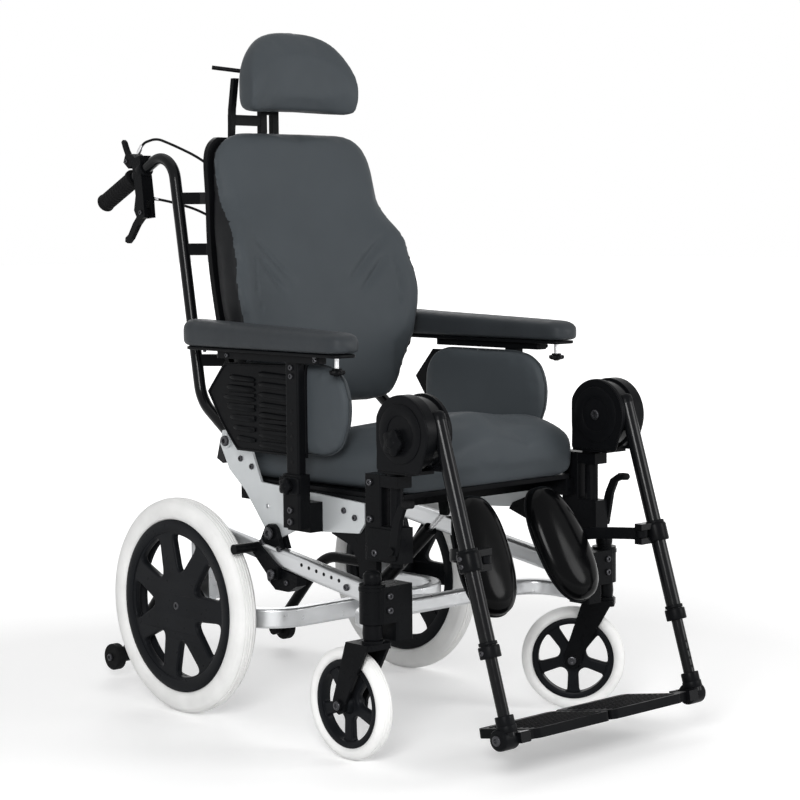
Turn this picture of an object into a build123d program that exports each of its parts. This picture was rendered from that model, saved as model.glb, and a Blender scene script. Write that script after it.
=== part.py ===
"""Tilt in space wheelchair: every piece at its real size, in millimetres.

X is across the chair (+X is the sitter's left), the sitter faces -Y and +Z is up.
Lengths along Y below are measured from the rear axle; place() moves the whole chair
so that the origin lies on the floor under the middle of its bounding box.
"""
from build123d import *
import math
import os

# ---- overall layout -----------------------------------------------------------------
ORIGIN_SHIFT = 240.0         # rear axle to the middle of the overall length
RUN_GAP = 0.3                # gap between faces of pieces that move past each other
PIN_FIT = 0.05               # radial running fit of pins and axles

# ---- widths that follow the seat's width ----------------------------------------------
CUSHION_HALF = 222.0
PLATE_X = CUSHION_HALF + 4.0
RAIL_X = PLATE_X + 4.0
BACK_TUBE_X = PLATE_X - 12.0
ARM_X = PLATE_X + 44.0
POST_X = PLATE_X + 15.0
LEG_X = POST_X - 10.5

# ---- rear wheels --------------------------------------------------------------------
REAR_RADIUS = 200.0
REAR_TRACK = 2 * (RAIL_X + 48.0)
REAR_TYRE_WIDTH = 46.0
REAR_TYRE_DEPTH = 40.0
REAR_RIM_RADIUS = REAR_RADIUS - REAR_TYRE_DEPTH
REAR_RIM_WIDTH = 36.0
REAR_RIM_DEPTH = 20.0
REAR_SPOKES = 7
REAR_SPOKE_PHASE = 178.7
REAR_HUB_RADIUS = 34.0
REAR_HUB_INNER = 30.0
REAR_HUB_OUTER = 15.0
REAR_WEB = 11.0
AXLE_RADIUS = 6.0

# ---- casters ------------------------------------------------------------------------
CASTER_RADIUS = 96.0
CASTER_TYRE_WIDTH = 32.0
CASTER_TYRE_DEPTH = 20.0
CASTER_RIM_RADIUS = CASTER_RADIUS - CASTER_TYRE_DEPTH
CASTER_RIM_WIDTH = 20.0
CASTER_RIM_DEPTH = 10.0
CASTER_SPOKES = 5
CASTER_SPOKE_PHASE = -90.0
CASTER_HUB_RADIUS = 18.0
CASTER_HUB_WIDTH = 38.0
CASTER_TRAIL = 57.0
CASTER_X = RAIL_X + 57.0
CASTER_Y = -535.5
CASTER_YAW = {"left": 38.0, "right": 0.0}
FORK_LEG = 6.0
FORK_CLEARANCE = 2.0
CROWN_BOTTOM = 2 * CASTER_RADIUS + 5.0
CROWN_HEIGHT = 10.0
STEM_RADIUS = 9.0
STEM_LENGTH = 64.0
HOUSING_BOTTOM = CROWN_BOTTOM + CROWN_HEIGHT + 5.0
HOUSING_STEP = HOUSING_BOTTOM + 28.0
HOUSING_TOP = HOUSING_BOTTOM + 90.0
HOUSING_RADIUS = 22.0
HOUSING_DEPTH = 48.0

# ---- base frame ---------------------------------------------------------------------
RAIL_WIDTH = 25.0
RAIL_HEIGHT = 35.0
RAIL_REAR_Y = 62.0
RAIL_REAR_Z = 355.0
RAIL_FRONT_Z = HOUSING_TOP - 36.0
REAR_CROSS_Y = -190.0
REAR_CROSS_Z = REAR_RADIUS - 12.0
CROSS_HEIGHT = 36.0
CROSS_WIDTH = 24.0
CROSS_BEND = 80.0
FRONT_CROSS_Y = -408.0
FRONT_CROSS_Z = HOUSING_BOTTOM + 14.0
FRONT_CROSS_HEIGHT = 28.0
FRONT_BEND = 60.0
CARRIER_HALF = 26.0
CARRIER_THICK = 16.0
ANTITIP_X = RAIL_X - 34.0
ANTITIP_TUBE = 11.0
ANTITIP_RADIUS = 26.0
ANTITIP_WIDTH = 20.0
ANTITIP_Y = 310.0
ANTITIP_Z = 48.0
ANTITIP_TOP = REAR_RADIUS + 22.0

# ---- tilting seat frame -------------------------------------------------------------
TILT_Y = -212.0
TILT_Z = 352.0
TILT_PIN = 8.0
PLATE_THICK = 5.0
SEAT_RAIL_WIDTH = 20.0
SEAT_RAIL_BOTTOM = 405.0
SEAT_RAIL_TOP = 436.0
SEAT_RAIL_REAR = -112.0
SEAT_RAIL_FRONT = -516.0
PAN_THICK = 8.0
PAN_HALF = CUSHION_HALF - 1.0
PAN_REAR = -125.0
PAN_FRONT = -518.0
CUSHION_REAR = -106.0
CUSHION_FRONT = -530.0
CUSHION_DEPTH = 124.0

# ---- backrest -----------------------------------------------------------------------
RECLINE_Y = -80.0
RECLINE_Z = 508.0
RECLINE_PIN = 6.0
BACK_TUBE_RADIUS = 11.0
BACK_LEAN = 0.167
TUBE_KINK = (19.0, 575.0)
TUBE_TOP_Y = 100.0
BACK_HALF = CUSHION_HALF - 2.0
BACK_BOTTOM = 556.0
BACK_TOP = 1080.0
SHELL_THICK = 12.0
SHELL_GAP = 0.9
HANDLE_TOP_Z = 1048.0
GRIP_END_Y = 322.0
GRIP_END_Z = 944.0
GRIP_LENGTH = 112.0
GRIP_RADIUS = 17.0

# ---- headrest -----------------------------------------------------------------------
HEAD_HALF = 140.0
HEAD_BOTTOM = 1120.0
HEAD_TOP = 1266.0
HEAD_HEIGHT = HEAD_TOP - HEAD_BOTTOM
HEAD_PIVOT_Y = 52.0
HEAD_PIVOT_Z = HEAD_BOTTOM + 0.35616 * HEAD_HEIGHT
HEAD_POST_Y = 76.0
HEAD_POST_WIDTH = 44.0
HEAD_POST_THICK = 12.0

# ---- armrests -----------------------------------------------------------------------
ARM_Y = -322.0
ARM_POST_WIDTH = 18.0
ARM_POST_DEPTH = 34.0
ARM_POST_BOTTOM = 398.0
ARM_SOCKET_BOTTOM = 376.0
ARM_SOCKET_TOP = 470.0
ARM_WALL = 4.5
ARM_PAD_BOTTOM = 682.0
ARM_PAD_TOP = 714.0
ARM_PAD_RISE = 16.0
ARM_PAD_HALF = 31.0
ARM_PAD_REAR = -24.0
ARM_PAD_FRONT = -468.0
ARM_PLATE_THICK = 6.0
CARRIER_BAR = 12.0
ARM_SLIDE = 30.0
GUARD_THICK = 4.0
HIP_PAD_THICK = 30.0
HIP_PAD_TOP = ARM_PAD_BOTTOM - 12.0
HIP_PAD_BOTTOM = HIP_PAD_TOP - 168.0

# ---- legrests -----------------------------------------------------------------------
POST_Y = -546.0
POST_RADIUS = 12.0
POST_BOTTOM = 330.0
KNEE_Y = -585.0
KNEE_Z = 557.0
KNEE_RADIUS = 64.0
KNEE_BOTTOM = 493.0
KNEE_REAR = 20.0
LEG_RADIUS = 13.0
KNEE_SIDE_GAP = 0.5
KNEE_INNER_PLATE = 4.5
KNEE_INNER = LEG_X - LEG_RADIUS - KNEE_SIDE_GAP
KNEE_SPLIT = LEG_X + LEG_RADIUS + KNEE_SIDE_GAP
KNEE_OUTER = KNEE_SPLIT + 20.0
LEG_INNER_RADIUS = 10.0
LEG_TOP = (-637.0, 583.0)
LEG_FOOT = (-789.0, 102.0)
LEG_SPLIT_Z = 208.0
CALF_X = LEG_X - 134.5
CALF_WIDTH = 108.0
CALF_HEIGHT = 216.0
CALF_THICK = 40.0
FOOT_Z = 80.0
FOOT_Y = -789.0
PLATE_INNER = 2.0
FLIP_X = LEG_X - 26.5
FOOTPLATE_DEPTH = 138.0
FOOTPLATE_THICK = 16.0
FOOTPLATE_PITCH = 10.0

SIDES = {"left": 1, "right": -1}


# ---- helpers ------------------------------------------------------------------------
def place(shape):
    """Moves a shape from the rear axle frame to the chair's own frame."""
    return Pos(0, ORIGIN_SHIFT, 0) * shape


def save(name, *shapes):
    """Writes one sub-part: each argument is a separate solid of that node."""
    solids = [solid for shape in shapes for solid in shape.solids()]
    node = solids[0] if len(solids) == 1 else Compound(children=solids)
    export_step(place(node), f"parts/{name}.step")


def on_side(shape, side):
    """The left piece as it is, or its mirror image for the right side."""
    return shape if side > 0 else mirror(shape, about=Plane.YZ)


def both(shape):
    """A left piece and its mirror image."""
    return [shape, mirror(shape, about=Plane.YZ)]


def rod(start, end, radius):
    """A round bar from one point to another."""
    run = Vector(*end) - Vector(*start)
    return extrude(Plane(origin=start, z_dir=run) * Circle(radius), amount=run.length)


def x_rod(x_start, x_end, y, z, radius):
    """A round bar across the chair."""
    return rod((x_start, y, z), (x_end, y, z), radius)


def block(x_range, y_range, z_range, fillet_radius=0.0):
    """A box between two corners, its upright edges rounded where asked."""
    size = [abs(b - a) for a, b in (x_range, y_range, z_range)]
    centre = [(a + b) / 2 for a, b in (x_range, y_range, z_range)]
    body = Box(*size)
    if fillet_radius:
        body = fillet(body.edges().filter_by(Axis.Z), fillet_radius)
    return Pos(*centre) * body


def plate_yz(points, x_start, x_end):
    """A flat plate standing fore and aft: (y, z) outline, from one x to another."""
    outline = Plane.YZ.offset(x_start) * make_face(Polyline(*points, close=True))
    return extrude(outline, amount=x_end - x_start)


def bent_bar(points, radii, section):
    """Sweeps a section along straight runs joined by tangent arcs."""
    path = FilletPolyline(*points, radius=radii)
    start = Plane(origin=path @ 0, x_dir=(0, 0, 1), z_dir=path % 0)
    return sweep(start * section, path=path)


def ring(outer, inner, width):
    """A ring about the X axis, centred on the origin."""
    return Rot(0, 90, 0) * (Cylinder(outer, width) - Cylinder(inner, width * 2))


def rail_mid(y):
    """Height of the side rail's centre line."""
    slope = (RAIL_REAR_Z - RAIL_FRONT_Z) / (RAIL_REAR_Y - RAIL_FRONT_Y)
    return RAIL_FRONT_Z + slope * (y - RAIL_FRONT_Y)


def rail_top(y):
    return rail_mid(y) + RAIL_HALF_UPRIGHT


def rail_bottom(y):
    return rail_mid(y) - RAIL_HALF_UPRIGHT


RAIL_FRONT_Y = CASTER_Y + HOUSING_DEPTH / 2
RAIL_SLOPE = math.atan2(RAIL_REAR_Z - RAIL_FRONT_Z, RAIL_REAR_Y - RAIL_FRONT_Y)
RAIL_HALF_UPRIGHT = RAIL_HEIGHT / 2 / math.cos(RAIL_SLOPE)


# ---- wheels -------------------------------------------------------------------------
def tyre(radius, rim_radius, width):
    """A solid tyre about the X axis: rounded shoulders and a narrow flat tread."""
    half = width / 2
    shoulder = radius - 0.24 * (radius - rim_radius)
    bead = half * 0.8
    tread = half * 0.35
    right = [
        Line((bead, rim_radius), (0, rim_radius)),
        ThreePointArc((bead, rim_radius), (half, (rim_radius + shoulder) / 2), (half * 0.8, shoulder)),
        ThreePointArc((half * 0.8, shoulder), (half * 0.62, radius - 3.0), (tread, radius)),
        Line((tread, radius), (0, radius)),
        Line((0, radius), (0, rim_radius)),
    ]
    half_section = make_face(right)
    section = half_section + mirror(half_section, about=Plane.YZ)
    return revolve(section, axis=Axis.X)


def spoke_opening(inner, outer, half_angle, corner):
    """The rounded three-cornered opening between two spokes, in the YZ plane."""
    tip = (inner, 0)
    upper = (outer * math.cos(half_angle), outer * math.sin(half_angle))
    lower = (upper[0], -upper[1])
    face = make_face([Line(tip, upper), ThreePointArc(upper, (outer, 0), lower), Line(lower, tip)])
    return fillet(face.vertices(), corner)


def spoked_rim(rim_radius, rim_width, rim_depth, hub_radius, hub_span, web, count, phase, outward):
    """Rim, spokes and hub in one moulding about the X axis, with a bore for the axle."""
    inner_radius = rim_radius - rim_depth
    rim = ring(rim_radius, inner_radius, rim_width)
    hub_length = hub_span[1] - hub_span[0]
    hub = Pos((hub_span[0] + hub_span[1]) / 2, 0, 0) * Rot(0, 90, 0) * Cylinder(hub_radius, hub_length)
    disc = Pos(outward, 0, 0) * Rot(0, 90, 0) * Cylinder(inner_radius + 1, web)
    pitch = 2 * math.pi / count
    opening = spoke_opening(hub_radius + 0.14 * rim_radius, inner_radius, pitch * 0.29, rim_radius * 0.045)
    cutter = extrude(Plane.YZ * opening, amount=web * 2, both=True)
    for index in range(count):
        angle = phase + 360 / count * (index + 0.5)
        disc -= Rot(angle, 0, 0) * cutter
    bore_length = hub_length * 2
    bore = Rot(0, 90, 0) * Cylinder(AXLE_RADIUS + PIN_FIT, bore_length)
    return rim + disc + hub, bore


def rear_wheel(side):
    """Tyre and mag rim of one rear wheel; the hub's outer end is closed."""
    outward = REAR_RIM_WIDTH / 2 - REAR_WEB / 2 - 3.0
    span = (-REAR_HUB_INNER, REAR_HUB_OUTER)
    rim, bore = spoked_rim(REAR_RIM_RADIUS, REAR_RIM_WIDTH, REAR_RIM_DEPTH, REAR_HUB_RADIUS, span,
                           REAR_WEB, REAR_SPOKES, REAR_SPOKE_PHASE, outward)
    closed_end = 5.0
    rim -= Pos(REAR_HUB_OUTER - closed_end - (span[1] - span[0]), 0, 0) * bore
    centre = Pos(REAR_TRACK / 2, 0, REAR_RADIUS)
    body = tyre(REAR_RADIUS, REAR_RIM_RADIUS, REAR_TYRE_WIDTH)
    return on_side(centre * body, side), on_side(centre * rim, side)


def caster_place(name):
    """From caster coordinates (stem axis, +Y trailing) to the chair."""
    side = SIDES[name]
    return Pos(side * CASTER_X, CASTER_Y, 0) * Rot(0, 0, CASTER_YAW[name])


def caster_wheel(name):
    span = (-CASTER_HUB_WIDTH / 2, CASTER_HUB_WIDTH / 2)
    rim, bore = spoked_rim(CASTER_RIM_RADIUS, CASTER_RIM_WIDTH, CASTER_RIM_DEPTH, CASTER_HUB_RADIUS,
                           span, 9.0, CASTER_SPOKES, CASTER_SPOKE_PHASE, 0)
    where = caster_place(name) * Pos(0, CASTER_TRAIL, CASTER_RADIUS)
    body = tyre(CASTER_RADIUS, CASTER_RIM_RADIUS, CASTER_TYRE_WIDTH)
    return where * body, where * (rim - bore)


def caster_fork(name):
    """Crown, stem, two legs and the wheel's axle bolt."""
    inner = CASTER_HUB_WIDTH / 2 + FORK_CLEARANCE
    outer = inner + FORK_LEG
    crown_top = CROWN_BOTTOM + CROWN_HEIGHT
    crown = block((-outer, outer), (-20, 38), (CROWN_BOTTOM, crown_top), 8)
    boss = rod((0, 0, crown_top), (0, 0, HOUSING_BOTTOM - RUN_GAP), 19)
    stem = rod((0, 0, crown_top), (0, 0, crown_top + STEM_LENGTH), STEM_RADIUS)
    front = CASTER_TRAIL - 15
    back = CASTER_TRAIL + 15
    outline = [(-18, crown_top), (38, crown_top), (back, CASTER_RADIUS + 8), (back - 2, CASTER_RADIUS - 10),
               (CASTER_TRAIL, CASTER_RADIUS - 16), (front + 2, CASTER_RADIUS - 10), (front, CASTER_RADIUS + 4)]
    leg = plate_yz(outline, inner, outer)
    head = 4.0
    axle = x_rod(-outer - head, outer + head, CASTER_TRAIL, CASTER_RADIUS, AXLE_RADIUS)
    heads = both(x_rod(outer, outer + head, CASTER_TRAIL, CASTER_RADIUS, 10))
    fork = crown + boss + stem + leg + mirror(leg, about=Plane.YZ) + axle + heads[0] + heads[1]
    return caster_place(name) * fork


# ---- base frame ---------------------------------------------------------------------
def side_rail():
    """Sloping rail with a rounded box section, from behind the axle to the caster housing."""
    section = RectangleRounded(RAIL_WIDTH, RAIL_HEIGHT, 8)
    start = (RAIL_X, RAIL_FRONT_Y, RAIL_FRONT_Z)
    end = (RAIL_X, RAIL_REAR_Y, RAIL_REAR_Z)
    run = Vector(*end) - Vector(*start)
    spare = 20.0
    low_end = Plane(origin=Vector(*start) - run.normalized() * spare, x_dir=(1, 0, 0), z_dir=run)
    long_rail = extrude(low_end * section, amount=run.length + spare)
    front_cut = block((RAIL_X - 50, RAIL_X + 50), (RAIL_FRONT_Y - 100, RAIL_FRONT_Y), (150, 400))
    return long_rail - front_cut


def cross_tubes():
    """Two tubes bent to a U, one at each end, and the spine that joins them."""
    rear_end = -CARRIER_HALF
    rear_path = [(RAIL_X, rear_end, REAR_CROSS_Z), (RAIL_X, REAR_CROSS_Y, REAR_CROSS_Z),
                 (-RAIL_X, REAR_CROSS_Y, REAR_CROSS_Z), (-RAIL_X, rear_end, REAR_CROSS_Z)]
    rear = bent_bar(rear_path, [CROSS_BEND] * 2, RectangleRounded(CROSS_HEIGHT, CROSS_WIDTH, 5))
    front_end = RAIL_FRONT_Y
    front_path = [(RAIL_X, front_end, FRONT_CROSS_Z), (RAIL_X, FRONT_CROSS_Y, FRONT_CROSS_Z),
                  (-RAIL_X, FRONT_CROSS_Y, FRONT_CROSS_Z), (-RAIL_X, front_end, FRONT_CROSS_Z)]
    front = bent_bar(front_path, [FRONT_BEND] * 2, RectangleRounded(FRONT_CROSS_HEIGHT, CROSS_WIDTH, 6))
    return rear, front


def spine(rear, front):
    """Central link between the two cross tubes, with the ears of the tilt strut."""
    half = 16.0
    outline = [(REAR_CROSS_Y, REAR_CROSS_Z - 14), (REAR_CROSS_Y, REAR_CROSS_Z + 14),
               (FRONT_CROSS_Y, FRONT_CROSS_Z + 11), (FRONT_CROSS_Y, FRONT_CROSS_Z - 11)]
    bar = plate_yz(outline, -half, half) - rear - front
    lug = STRUT_EYE + 2.0
    ears = []
    for sign in (1, -1):
        inner = sign * (STRUT_HALF + RUN_GAP * 2)
        outer = sign * half
        shape = [(STRUT_BASE_Y - 12, STRUT_BASE_Z - 30), (STRUT_BASE_Y + 12, STRUT_BASE_Z - 30),
                 (STRUT_BASE_Y + 10, STRUT_BASE_Z + lug), (STRUT_BASE_Y - 10, STRUT_BASE_Z + lug)]
        ears.append(plate_yz(shape, min(inner, outer), max(inner, outer)))
    pin = x_rod(-half, half, STRUT_BASE_Y, STRUT_BASE_Z, STRUT_PIN)
    return bar + ears[0] + ears[1] + pin


def caster_housing():
    """Cast block that joins rail, front cross tube and the caster's bearing column."""
    y_range = (CASTER_Y - HOUSING_DEPTH / 2, CASTER_Y + HOUSING_DEPTH / 2)
    inner = RAIL_X - RAIL_WIDTH / 2 - 1
    web = block((inner, CASTER_X), y_range, (HOUSING_STEP, HOUSING_TOP), 4)
    inner_foot = block((inner, inner + 38), y_range, (HOUSING_BOTTOM - 4, HOUSING_TOP), 4)
    column = rod((CASTER_X, CASTER_Y, HOUSING_STEP), (CASTER_X, CASTER_Y, HOUSING_TOP + 4), HOUSING_RADIUS)
    neck = rod((CASTER_X, CASTER_Y, HOUSING_BOTTOM), (CASTER_X, CASTER_Y, HOUSING_STEP), 15)
    cap = rod((CASTER_X, CASTER_Y, HOUSING_TOP), (CASTER_X, CASTER_Y, HOUSING_TOP + 12), 14)
    crown_top = CROWN_BOTTOM + CROWN_HEIGHT
    bore = rod((CASTER_X, CASTER_Y, 0), (CASTER_X, CASTER_Y, crown_top + STEM_LENGTH + 1),
               STEM_RADIUS + PIN_FIT)
    return web + inner_foot + column + neck + cap - bore


def axle_carrier():
    """Upright plate under the rail, with the wheel's fixed axle and the rear tube's socket."""
    x_range = (RAIL_X - CARRIER_THICK / 2, RAIL_X + CARRIER_THICK / 2)
    low = REAR_RADIUS - CARRIER_HALF - 8
    outline = [(-CARRIER_HALF, low + 14), (-CARRIER_HALF, rail_bottom(-CARRIER_HALF)),
               (CARRIER_HALF, rail_bottom(CARRIER_HALF)), (CARRIER_HALF, low + 14), (14, low), (-14, low)]
    plate = plate_yz(outline, *x_range)
    wheel_x = REAR_TRACK / 2
    boss = x_rod(x_range[0], wheel_x - REAR_HUB_INNER - RUN_GAP, 0, REAR_RADIUS, 20)
    axle = x_rod(x_range[0], wheel_x + REAR_HUB_OUTER - 6, 0, REAR_RADIUS, AXLE_RADIUS)
    socket = block((ANTITIP_X - 16, x_range[0]), (-22, CARRIER_HALF), (ANTITIP_TOP - 15, ANTITIP_TOP + 15))
    return plate + boss + axle + socket


def antitip_tube():
    """Bent tube that carries the small wheel behind the chair."""
    path = [(ANTITIP_X, CARRIER_HALF, ANTITIP_TOP), (ANTITIP_X, 150, ANTITIP_TOP),
            (ANTITIP_X, ANTITIP_Y, ANTITIP_Z)]
    tube = bent_bar(path, [90], Circle(ANTITIP_TUBE))
    wheel_x = ANTITIP_X + ANTITIP_TUBE + ANTITIP_WIDTH + 3
    eye = x_rod(ANTITIP_X - ANTITIP_TUBE, ANTITIP_X + ANTITIP_TUBE, ANTITIP_Y, ANTITIP_Z, ANTITIP_TUBE + 2)
    axle = x_rod(ANTITIP_X, wheel_x, ANTITIP_Y, ANTITIP_Z, 5)
    return tube + eye + axle


def antitip_wheel():
    inner = ANTITIP_X + ANTITIP_TUBE + 1
    wheel = x_rod(inner, inner + ANTITIP_WIDTH, ANTITIP_Y, ANTITIP_Z, ANTITIP_RADIUS)
    wheel = fillet(wheel.edges(), 4)
    return wheel - x_rod(inner - 5, inner + ANTITIP_WIDTH + 5, ANTITIP_Y, ANTITIP_Z, 5 + PIN_FIT)


def tilt_bracket():
    """Clevis on the rail that holds the seat frame's side plate on a fixed pin."""
    ear = 9.0
    rise = TILT_Z + 16
    outline = [(TILT_Y - 30, rail_top(TILT_Y - 30)), (TILT_Y + 30, rail_top(TILT_Y + 30)),
               (TILT_Y + 15, rise - 6), (TILT_Y + 6, rise), (TILT_Y - 6, rise), (TILT_Y - 15, rise - 6)]
    gap = 0.5
    outer = plate_yz(outline, PLATE_X + PLATE_THICK + gap, PLATE_X + PLATE_THICK + gap + ear)
    inner = plate_yz(outline, PLATE_X - gap - ear, PLATE_X - gap)
    pin = x_rod(PLATE_X - gap - ear, PLATE_X + PLATE_THICK + gap + ear + 3, TILT_Y, TILT_Z, TILT_PIN)
    return outer + inner + pin


def seat_rest():
    """Bent bracket on the rail that the seat frame's rail lies on at rest."""
    top = SEAT_RAIL_BOTTOM - RUN_GAP
    outline = [(-478, rail_top(-478)), (-478, top), (-438, top), (-372, 379), (-362, 366), (-412, 350),
               (-432, 322), (-434, rail_top(-434))]
    return plate_yz(outline, PLATE_X - RUN_GAP - 12, PLATE_X - RUN_GAP)


def lock_bracket():
    """Housing of the wheel lock, bolted under the rail."""
    rear = LOCK_Y + 36
    front = LOCK_Y - 56
    low = LOCK_Z - 30
    outline = [(rear, rail_bottom(rear)), (front, rail_bottom(front)), (front + 4, low + 12),
               (front + 26, low), (rear - 30, low), (rear - 8, low + 16)]
    body = plate_yz(outline, RAIL_X - 10, RAIL_X + 12)
    return body + x_rod(RAIL_X + 12, RAIL_X + 26, LOCK_Y, LOCK_Z, 7)


LOCK_Y = -232.0
LOCK_Z = 282.0
LOCK_SHOE_RADIUS = 9.0
LOCK_GAP = 9.0
LOCK_ANGLE = math.radians(145.0)


def lock_lever():
    """Arm and shoe that swing against the rear tyre."""
    reach = REAR_RADIUS + LOCK_SHOE_RADIUS + LOCK_GAP
    shoe_y = reach * math.cos(LOCK_ANGLE)
    shoe_z = REAR_RADIUS + reach * math.sin(LOCK_ANGLE)
    arm_x = (RAIL_X + 13, RAIL_X + 21)
    arm = plate_yz([(LOCK_Y - 12, LOCK_Z - 8), (LOCK_Y + 6, LOCK_Z - 13), (shoe_y + 8, shoe_z - 8),
                    (shoe_y - 2, shoe_z + 9), (LOCK_Y - 8, LOCK_Z + 13)], *arm_x)
    shoe = x_rod(arm_x[0], REAR_TRACK / 2 + 20, shoe_y, shoe_z, LOCK_SHOE_RADIUS)
    return arm + shoe - x_rod(RAIL_X, RAIL_X + 40, LOCK_Y, LOCK_Z, 7 + PIN_FIT)


# ---- tilt strut ---------------------------------------------------------------------
STRUT_BASE_Y = -236.0
STRUT_BASE_Z = REAR_CROSS_Z + 44.0
STRUT_TOP_Y = -420.0
STRUT_TOP_Z = 392.0
STRUT_PIN = 5.0
STRUT_EYE = 11.0
STRUT_HALF = 7.0
STRUT_BARREL = 13.0
STRUT_ROD = 5.0
OPEN_PIVOT_GAP = 2.5


def strut_point(distance):
    """A point on the strut's line, that far from its lower pivot."""
    base = Vector(0, STRUT_BASE_Y, STRUT_BASE_Z)
    top = Vector(0, STRUT_TOP_Y, STRUT_TOP_Z)
    return tuple(base + (top - base).normalized() * distance)


def strut_length():
    return math.hypot(STRUT_TOP_Y - STRUT_BASE_Y, STRUT_TOP_Z - STRUT_BASE_Z)


def strut_cylinder():
    eye = x_rod(-STRUT_HALF, STRUT_HALF, STRUT_BASE_Y, STRUT_BASE_Z, STRUT_EYE)
    neck = rod(strut_point(0), strut_point(24), 6)
    barrel = rod(strut_point(22), strut_point(strut_length() - 62), STRUT_BARREL)
    bore = rod(strut_point(30), strut_point(strut_length()), STRUT_ROD + PIN_FIT)
    pivot = x_rod(-30, 30, STRUT_BASE_Y, STRUT_BASE_Z, STRUT_PIN + PIN_FIT)
    return eye + neck + barrel - bore - pivot


def strut_rod():
    length = strut_length()
    eye = x_rod(-STRUT_HALF, STRUT_HALF, STRUT_TOP_Y, STRUT_TOP_Z, STRUT_EYE + 2)
    shaft = rod(strut_point(length - 160), strut_point(length - 6), STRUT_ROD)
    hole = x_rod(-30, 30, STRUT_TOP_Y, STRUT_TOP_Z, STRUT_PIN + OPEN_PIVOT_GAP)
    return eye + shaft - hole


# ---- seat frame ---------------------------------------------------------------------
def side_plate():
    """Metal side plate of the seat frame: tilt pivot below, recline pivot at the top rear."""
    head = [(RECLINE_Y - 16, RECLINE_Z + 23), (RECLINE_Y - 52, RECLINE_Z + 4), (RECLINE_Y - 70, RECLINE_Z - 14)]
    upper = [(TILT_Y + 36, SEAT_RAIL_TOP + 4), (TILT_Y - 88, SEAT_RAIL_TOP - 2)]
    front = SEAT_RAIL_FRONT + 61
    nose = [(front, SEAT_RAIL_TOP - 9), (front, TILT_Z + 40), (front + 15, TILT_Z + 22)]
    lower = [(TILT_Y - 58, TILT_Z + 10), (TILT_Y - 16, TILT_Z - 8), (TILT_Y, TILT_Z - 14),
             (TILT_Y + 16, TILT_Z - 6), (TILT_Y + 82, TILT_Z + 69)]
    heel = [(RECLINE_Y - 4, RECLINE_Z - 52), (RECLINE_Y + 22, RECLINE_Z - 8), (RECLINE_Y + 16, RECLINE_Z + 18)]
    outline = head + upper + nose + lower + heel
    plate = plate_yz(outline, PLATE_X, PLATE_X + PLATE_THICK)
    plate -= x_rod(0, 400, TILT_Y, TILT_Z, TILT_PIN + PIN_FIT)
    plate -= x_rod(0, 400, ACCESSORY_Y, ACCESSORY_Z, ACCESSORY_RADIUS)
    pin = x_rod(BACK_TUBE_X - 11, PLATE_X + PLATE_THICK + 5, RECLINE_Y, RECLINE_Z, RECLINE_PIN)
    cap = x_rod(PLATE_X + PLATE_THICK, PLATE_X + PLATE_THICK + 5, RECLINE_Y, RECLINE_Z, 13)
    return plate + pin + cap


ACCESSORY_Y = TILT_Y + 19.0
ACCESSORY_Z = TILT_Z + 46.0
ACCESSORY_RADIUS = 4.25


def seat_tubes():
    """Welded frame under the seat: two rails, two cross tubes and the strut's clevis."""
    rail = block((PLATE_X - SEAT_RAIL_WIDTH, PLATE_X), (SEAT_RAIL_FRONT, SEAT_RAIL_REAR),
                 (SEAT_RAIL_BOTTOM, SEAT_RAIL_TOP))
    inner = PLATE_X - SEAT_RAIL_WIDTH / 2
    rear = block((-inner, inner), (-172, -142), (SEAT_RAIL_BOTTOM, SEAT_RAIL_TOP))
    front = block((-inner, inner), (STRUT_TOP_Y - 18, STRUT_TOP_Y + 18), (SEAT_RAIL_BOTTOM + 4, SEAT_RAIL_TOP))
    gap = STRUT_HALF + 1
    drop = [(STRUT_TOP_Y - 14, SEAT_RAIL_BOTTOM + 8), (STRUT_TOP_Y + 14, SEAT_RAIL_BOTTOM + 8),
            (STRUT_TOP_Y + 9, STRUT_TOP_Z - 10), (STRUT_TOP_Y - 9, STRUT_TOP_Z - 10)]
    ear = plate_yz(drop, gap, gap + 5)
    pin = x_rod(-gap - 5, gap + 5, STRUT_TOP_Y, STRUT_TOP_Z, STRUT_PIN)
    frame = rail + mirror(rail, about=Plane.YZ) + rear + front
    return frame + ear + mirror(ear, about=Plane.YZ) + pin - strut_swing()


def strut_swing():
    """Room for the rod's eye inside the clevis and under the cross tube."""
    gap = STRUT_HALF + 1
    return x_rod(-gap, gap, STRUT_TOP_Y, STRUT_TOP_Z, STRUT_EYE + 5) - x_rod(
        -gap, gap, STRUT_TOP_Y, STRUT_TOP_Z, STRUT_PIN)


def seat_pan():
    return block((-PAN_HALF, PAN_HALF), (PAN_FRONT, PAN_REAR), (SEAT_RAIL_TOP, SEAT_RAIL_TOP + PAN_THICK), 14)


def cushion_section(y, half, low, side, top):
    """One cross-section of the seat cushion, with bulging sides and a crowned top."""
    inset = 7.0
    plane = Plane(origin=(0, y, 0), x_dir=(1, 0, 0), z_dir=(0, -1, 0))
    foot = half - inset
    edge = half - inset * 1.6
    middle = (low + side) / 2
    outline = [
        Line((-foot, low), (foot, low)),
        ThreePointArc((foot, low), (half, middle), (edge, side)),
        ThreePointArc((edge, side), (0, top), (-edge, side)),
        ThreePointArc((-edge, side), (-half, middle), (-foot, low)),
    ]
    return plane * make_face(outline)


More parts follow.
